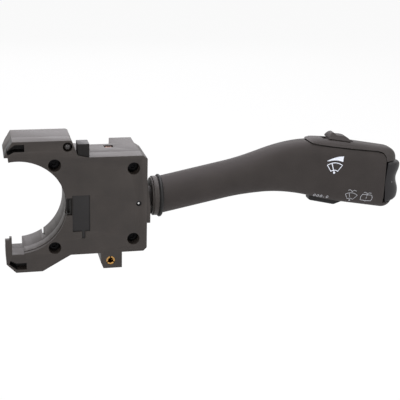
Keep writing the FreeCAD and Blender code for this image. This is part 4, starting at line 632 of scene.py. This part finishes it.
key_foot = [(-9.3, 3.3), (9.4, 3.3), (9.4, 5.0), (-9.3, 5.0)]
head_piece("reset_key", key_profile, key_half, key_seat, (key_foot, key_foot_half), soft_black,
           "reset_button", key_radius)

# The rocker cap: one satin moulding on a cross pin that closes the head's end, with two rounded
# bumps and a finger hollow between them round its nose. A tongue on top reaches under the strip,
# and a core behind it fills the gap to the shells when it tilts.
rocker_satin = plastic("rocker_satin", (0.0125, 0.0115, 0.0125), roughness=0.40, grain=1700,
                       depth=0.3, mottle=0.10, gloss=0.27)
rocker_levels = [(-5.45, 4.4), (-5.3, 2.9), (-4.9, 1.5), (-4.2, 0.65), (-3.2, 0.25), (-1.8, 0.03),
                 (-0.4, 0.0), (0.8, 0.12), (2.0, 0.45), (3.3, 0.95), (4.7, 1.4), (6.1, 1.62),
                 (7.4, 1.6), (8.7, 1.3), (10.0, 0.8), (11.2, 0.32), (12.4, 0.07), (13.6, 0.0),
                 (14.5, 0.2), (15.1, 0.75), (15.45, 1.7), (15.6, 2.9), (15.95, 3.6)]
rocker_bottom, rocker_top = rocker_levels[0][0], rocker_levels[-1][0]
rocker_left, rocker_right, rocker_half, nose_flat = 188.1, 198.28, 7.62, 186.0
pivot_level, reach_up, back_slope, back_corner = 5.05, 10.5, 0.9, 0.985


def rocker_sink(z):
    """How far the cap's nose lies behind its furthest reach at a level, from the pairs above."""
    for (low, first), (high, last) in zip(rocker_levels, rocker_levels[1:]):
        if z <= high:
            return first + (last - first) * ((z - low) / (high - low))
    return rocker_levels[-1][1]


def cap_point(z, turn):
    """A point of the cap's outline in plan at a level: half an ellipse with a straight back."""
    x = nose_flat + (rocker_right - rocker_sink(z) - nose_flat) * math.cos(turn)
    y = rocker_half * math.sin(turn)
    back = rocker_left + back_slope * abs(z - pivot_level) / reach_up
    if x < back:
        x = back
        back_share = (back - nose_flat) / (rocker_right - nose_flat)
        y = (max(-1, min(1, math.sin(turn) / back_corner)) * rocker_half
             * math.sqrt(max(1 - back_share ** 2, 0)))
    return Vector((x, head_y + y, z)) * mm


cap_segments, cap_steps = 64, 90
levels = [rocker_bottom + (rocker_top - rocker_bottom) * step / cap_steps
          for step in range(cap_steps + 1)]
levels = sorted(set(levels + [z for z, _ in rocker_levels]))
cap = bmesh.new()
bottom = loft(cap, cap_segments, levels, cap_point)
bmesh.ops.edgeloop_fill(cap, edges=bottom)

tongue_share, tongue_foot, tongue_height, tongue_out = 0.52, 15.0, 2.3, 1.6
tongue = bmesh.ops.create_circle(cap, segments=32, radius=1, cap_ends=True)["verts"]
for vert in tongue:
    outside = cap_point(rocker_top, math.atan2(vert.co.y, vert.co.x)) / mm
    vert.co = Vector((nose_flat + (outside.x - nose_flat) * tongue_share + tongue_out,
                      head_y + (outside.y - head_y) * tongue_share, tongue_foot)) * mm
tongue_face = list({face for vert in tongue for face in vert.link_faces})
grown = bmesh.ops.extrude_face_region(cap, geom=tongue_face)["geom"]
bmesh.ops.translate(cap, verts=[item for item in grown if isinstance(item, bmesh.types.BMVert)],
                    vec=(0, 0, tongue_height * mm))

core_size, core_middle = Vector((3.4, 10.0, 21.8)), Vector((rocker_left, head_y, 6.3))
core = bmesh.ops.create_cube(cap, size=1)["verts"]
bmesh.ops.scale(cap, verts=core, vec=core_size * mm)
bmesh.ops.translate(cap, verts=core, vec=core_middle * mm)
bmesh.ops.recalc_face_normals(cap, faces=cap.faces)
rocker_cap = finish_mesh(cap, "end_rocker_cap", rocker_satin, "end_rocker",
                         ("end_rocker",))
round_edges(rocker_cap, 0.3 * mm, angle=50)

# The largest sign on the head's front face: a windscreen with its wiper, and a wedge that shows
# how far to slide the knob. It is a thin film of white ink, printed on the shell.
ink = plastic("white_ink", (0.74, 0.78, 0.86), roughness=0.5, grain=3000, depth=0.1, mottle=0.04)
ink_thick = 0.03
bpy.context.view_layer.update()
front_face = BVHTree.FromObject(front_shell, bpy.context.evaluated_depsgraph_get())


def on_print(u, v, place):
    """A spot right and up of a sign's place, which is its x, its z and its turn in degrees."""
    turned = Matrix.Rotation(math.radians(-place[2]), 2) @ Vector((u, v))
    return Vector((place[0] + turned.x, 0, place[1] + turned.y)) * mm


def stroke(film, points, width, place, closed=False):
    """A printed line of even width through points, in millimetres."""
    spots = [Vector(p) for p in points]
    count = len(spots)
    sides = []
    for number, spot in enumerate(spots):
        before = spots[number - 1] if closed or number else spot
        after = spots[(number + 1) % count] if closed or number < count - 1 else spot
        run = (spot - before).normalized() + (after - spot).normalized()
        side = Vector((-run.y, run.x)).normalized()
        square = Vector((-(after - before).y, (after - before).x)).normalized()
        half = side * width / 2 / max(side.dot(square), 0.5)
        sides.append((spot + half, spot - half))
    verts = [[film.verts.new(on_print(*p, place)) for p in pair] for pair in sides]
    for number in range(count if closed else count - 1):
        first, second = verts[number], verts[(number + 1) % count]
        film.faces.new((first[0], first[1], second[1], second[0]))


def lay_film(film, name, material):
    """Lays what was drawn on the shell's front face, as one piece."""
    bmesh.ops.triangulate(film, faces=[face for face in film.faces if len(face.verts) > 4])
    bmesh.ops.subdivide_edges(film, edges=film.edges, cuts=1, use_grid_fill=True)
    for vert in film.verts:
        spot, normal, _, _ = front_face.ray_cast(vert.co - Vector((0, 0.05, 0)), Vector((0, 1, 0)))
        if spot:
            vert.co = spot + normal * ink_thick * mm
    finish_mesh(film, name, material, "lever")


def arc(middle, radius, start, end, steps=10, flat=1.0):
    """Points along an arc, angles in degrees."""
    turns = [math.radians(start + (end - start) * step / steps) for step in range(steps + 1)]
    return [(middle[0] + radius * math.cos(turn), middle[1] + flat * radius * math.sin(turn))
            for turn in turns]


def windscreen(film, place, size, width):
    """A curved windscreen outline with its wiper and pivot."""
    top = [(u * size, v * size) for u, v in arc((0, -5.0), 7.6, 125, 55)]
    low = [(u * size, v * size) for u, v in arc((0, -5.0), 3.5, 55, 125, 5)]
    stroke(film, top + low, width, place, closed=True)
    stroke(film, [(-1.9 * size, 2.3 * size), (0.0, -2.6 * size)], width, place)
    stroke(film, arc((0.05 * size, -3.0 * size), 0.32 * size, 0, 330, 8), 0.6 * size, place,
           closed=True)


wiper_place = (159.3, 14.75, 3.0)
upper_edge = [(-4.5, 3.3), (-3.2, 4.0), (-1.8, 4.6), (-0.6, 5.05), (1.2, 5.5), (2.8, 5.72),
              (4.5, 5.8)]
lower_edge = [(4.3, 2.95), (3.0, 3.4), (1.6, 3.65), (0.0, 3.75), (-1.6, 3.6), (-3.2, 3.35),
              (-4.5, 3.2)]
film = bmesh.new()
windscreen(film, wiper_place, size=0.94, width=0.42)
film.faces.new([film.verts.new(on_print(u, v, wiper_place)) for u, v in upper_edge + lower_edge])
lay_film(film, "level_symbol", ink)

# The smaller signs on the same face: front wash, rear wash and the plain figures that the reset
# key puts back to nought. They are the same printed ink, rubbed greyer by fingers.
worn_ink = plastic("worn_ink", (0.34, 0.35, 0.37), roughness=0.55, grain=3000, depth=0.1,
                   mottle=0.12)
wash_place, rear_place, figure_place = (169.7, -1.4, 8.5), (178.4, -2.45, 8.5), (153.7, -0.8, 9.6)
window_outline = [(-3.0, -1.6), (-3.3, 0.2), (-2.6, 1.6), (2.6, 1.6), (3.3, 0.2), (3.0, -1.6),
                  (1.3, -1.8), (-1.3, -1.8)]
outline_wide, wiper_wide, spray_wide, figure_wide, point_wide = 0.32, 0.30, 0.28, 0.32, 0.24
film = bmesh.new()
windscreen(film, wash_place, size=0.77, width=0.29)
for side in (1, -1):
    stroke(film, [(side * u, v) for u, v in arc((1.35, 2.3), 1.35, 180, 40, 7, 0.9)],
           spray_wide, wash_place)
stroke(film, window_outline, outline_wide, rear_place, closed=True)
stroke(film, [(0, -2.5), (0, 1.6)], wiper_wide, rear_place)
for side in (1, -1):
    stroke(film, [(side * u, v) for u, v in arc((1.3, 1.6), 1.3, 180, 50, 7, 0.9)],
           spray_wide, rear_place)
for nought in (-3.7, -1.9, -0.1, 3.3):
    stroke(film, arc((nought, 0), 0.48, 0, 330, 11, 1.4), figure_wide, figure_place, closed=True)
stroke(film, arc((1.6, -0.45), 0.12, 0, 300, 5), point_wide, figure_place, closed=True)
lay_film(film, "small_symbols", worn_ink)
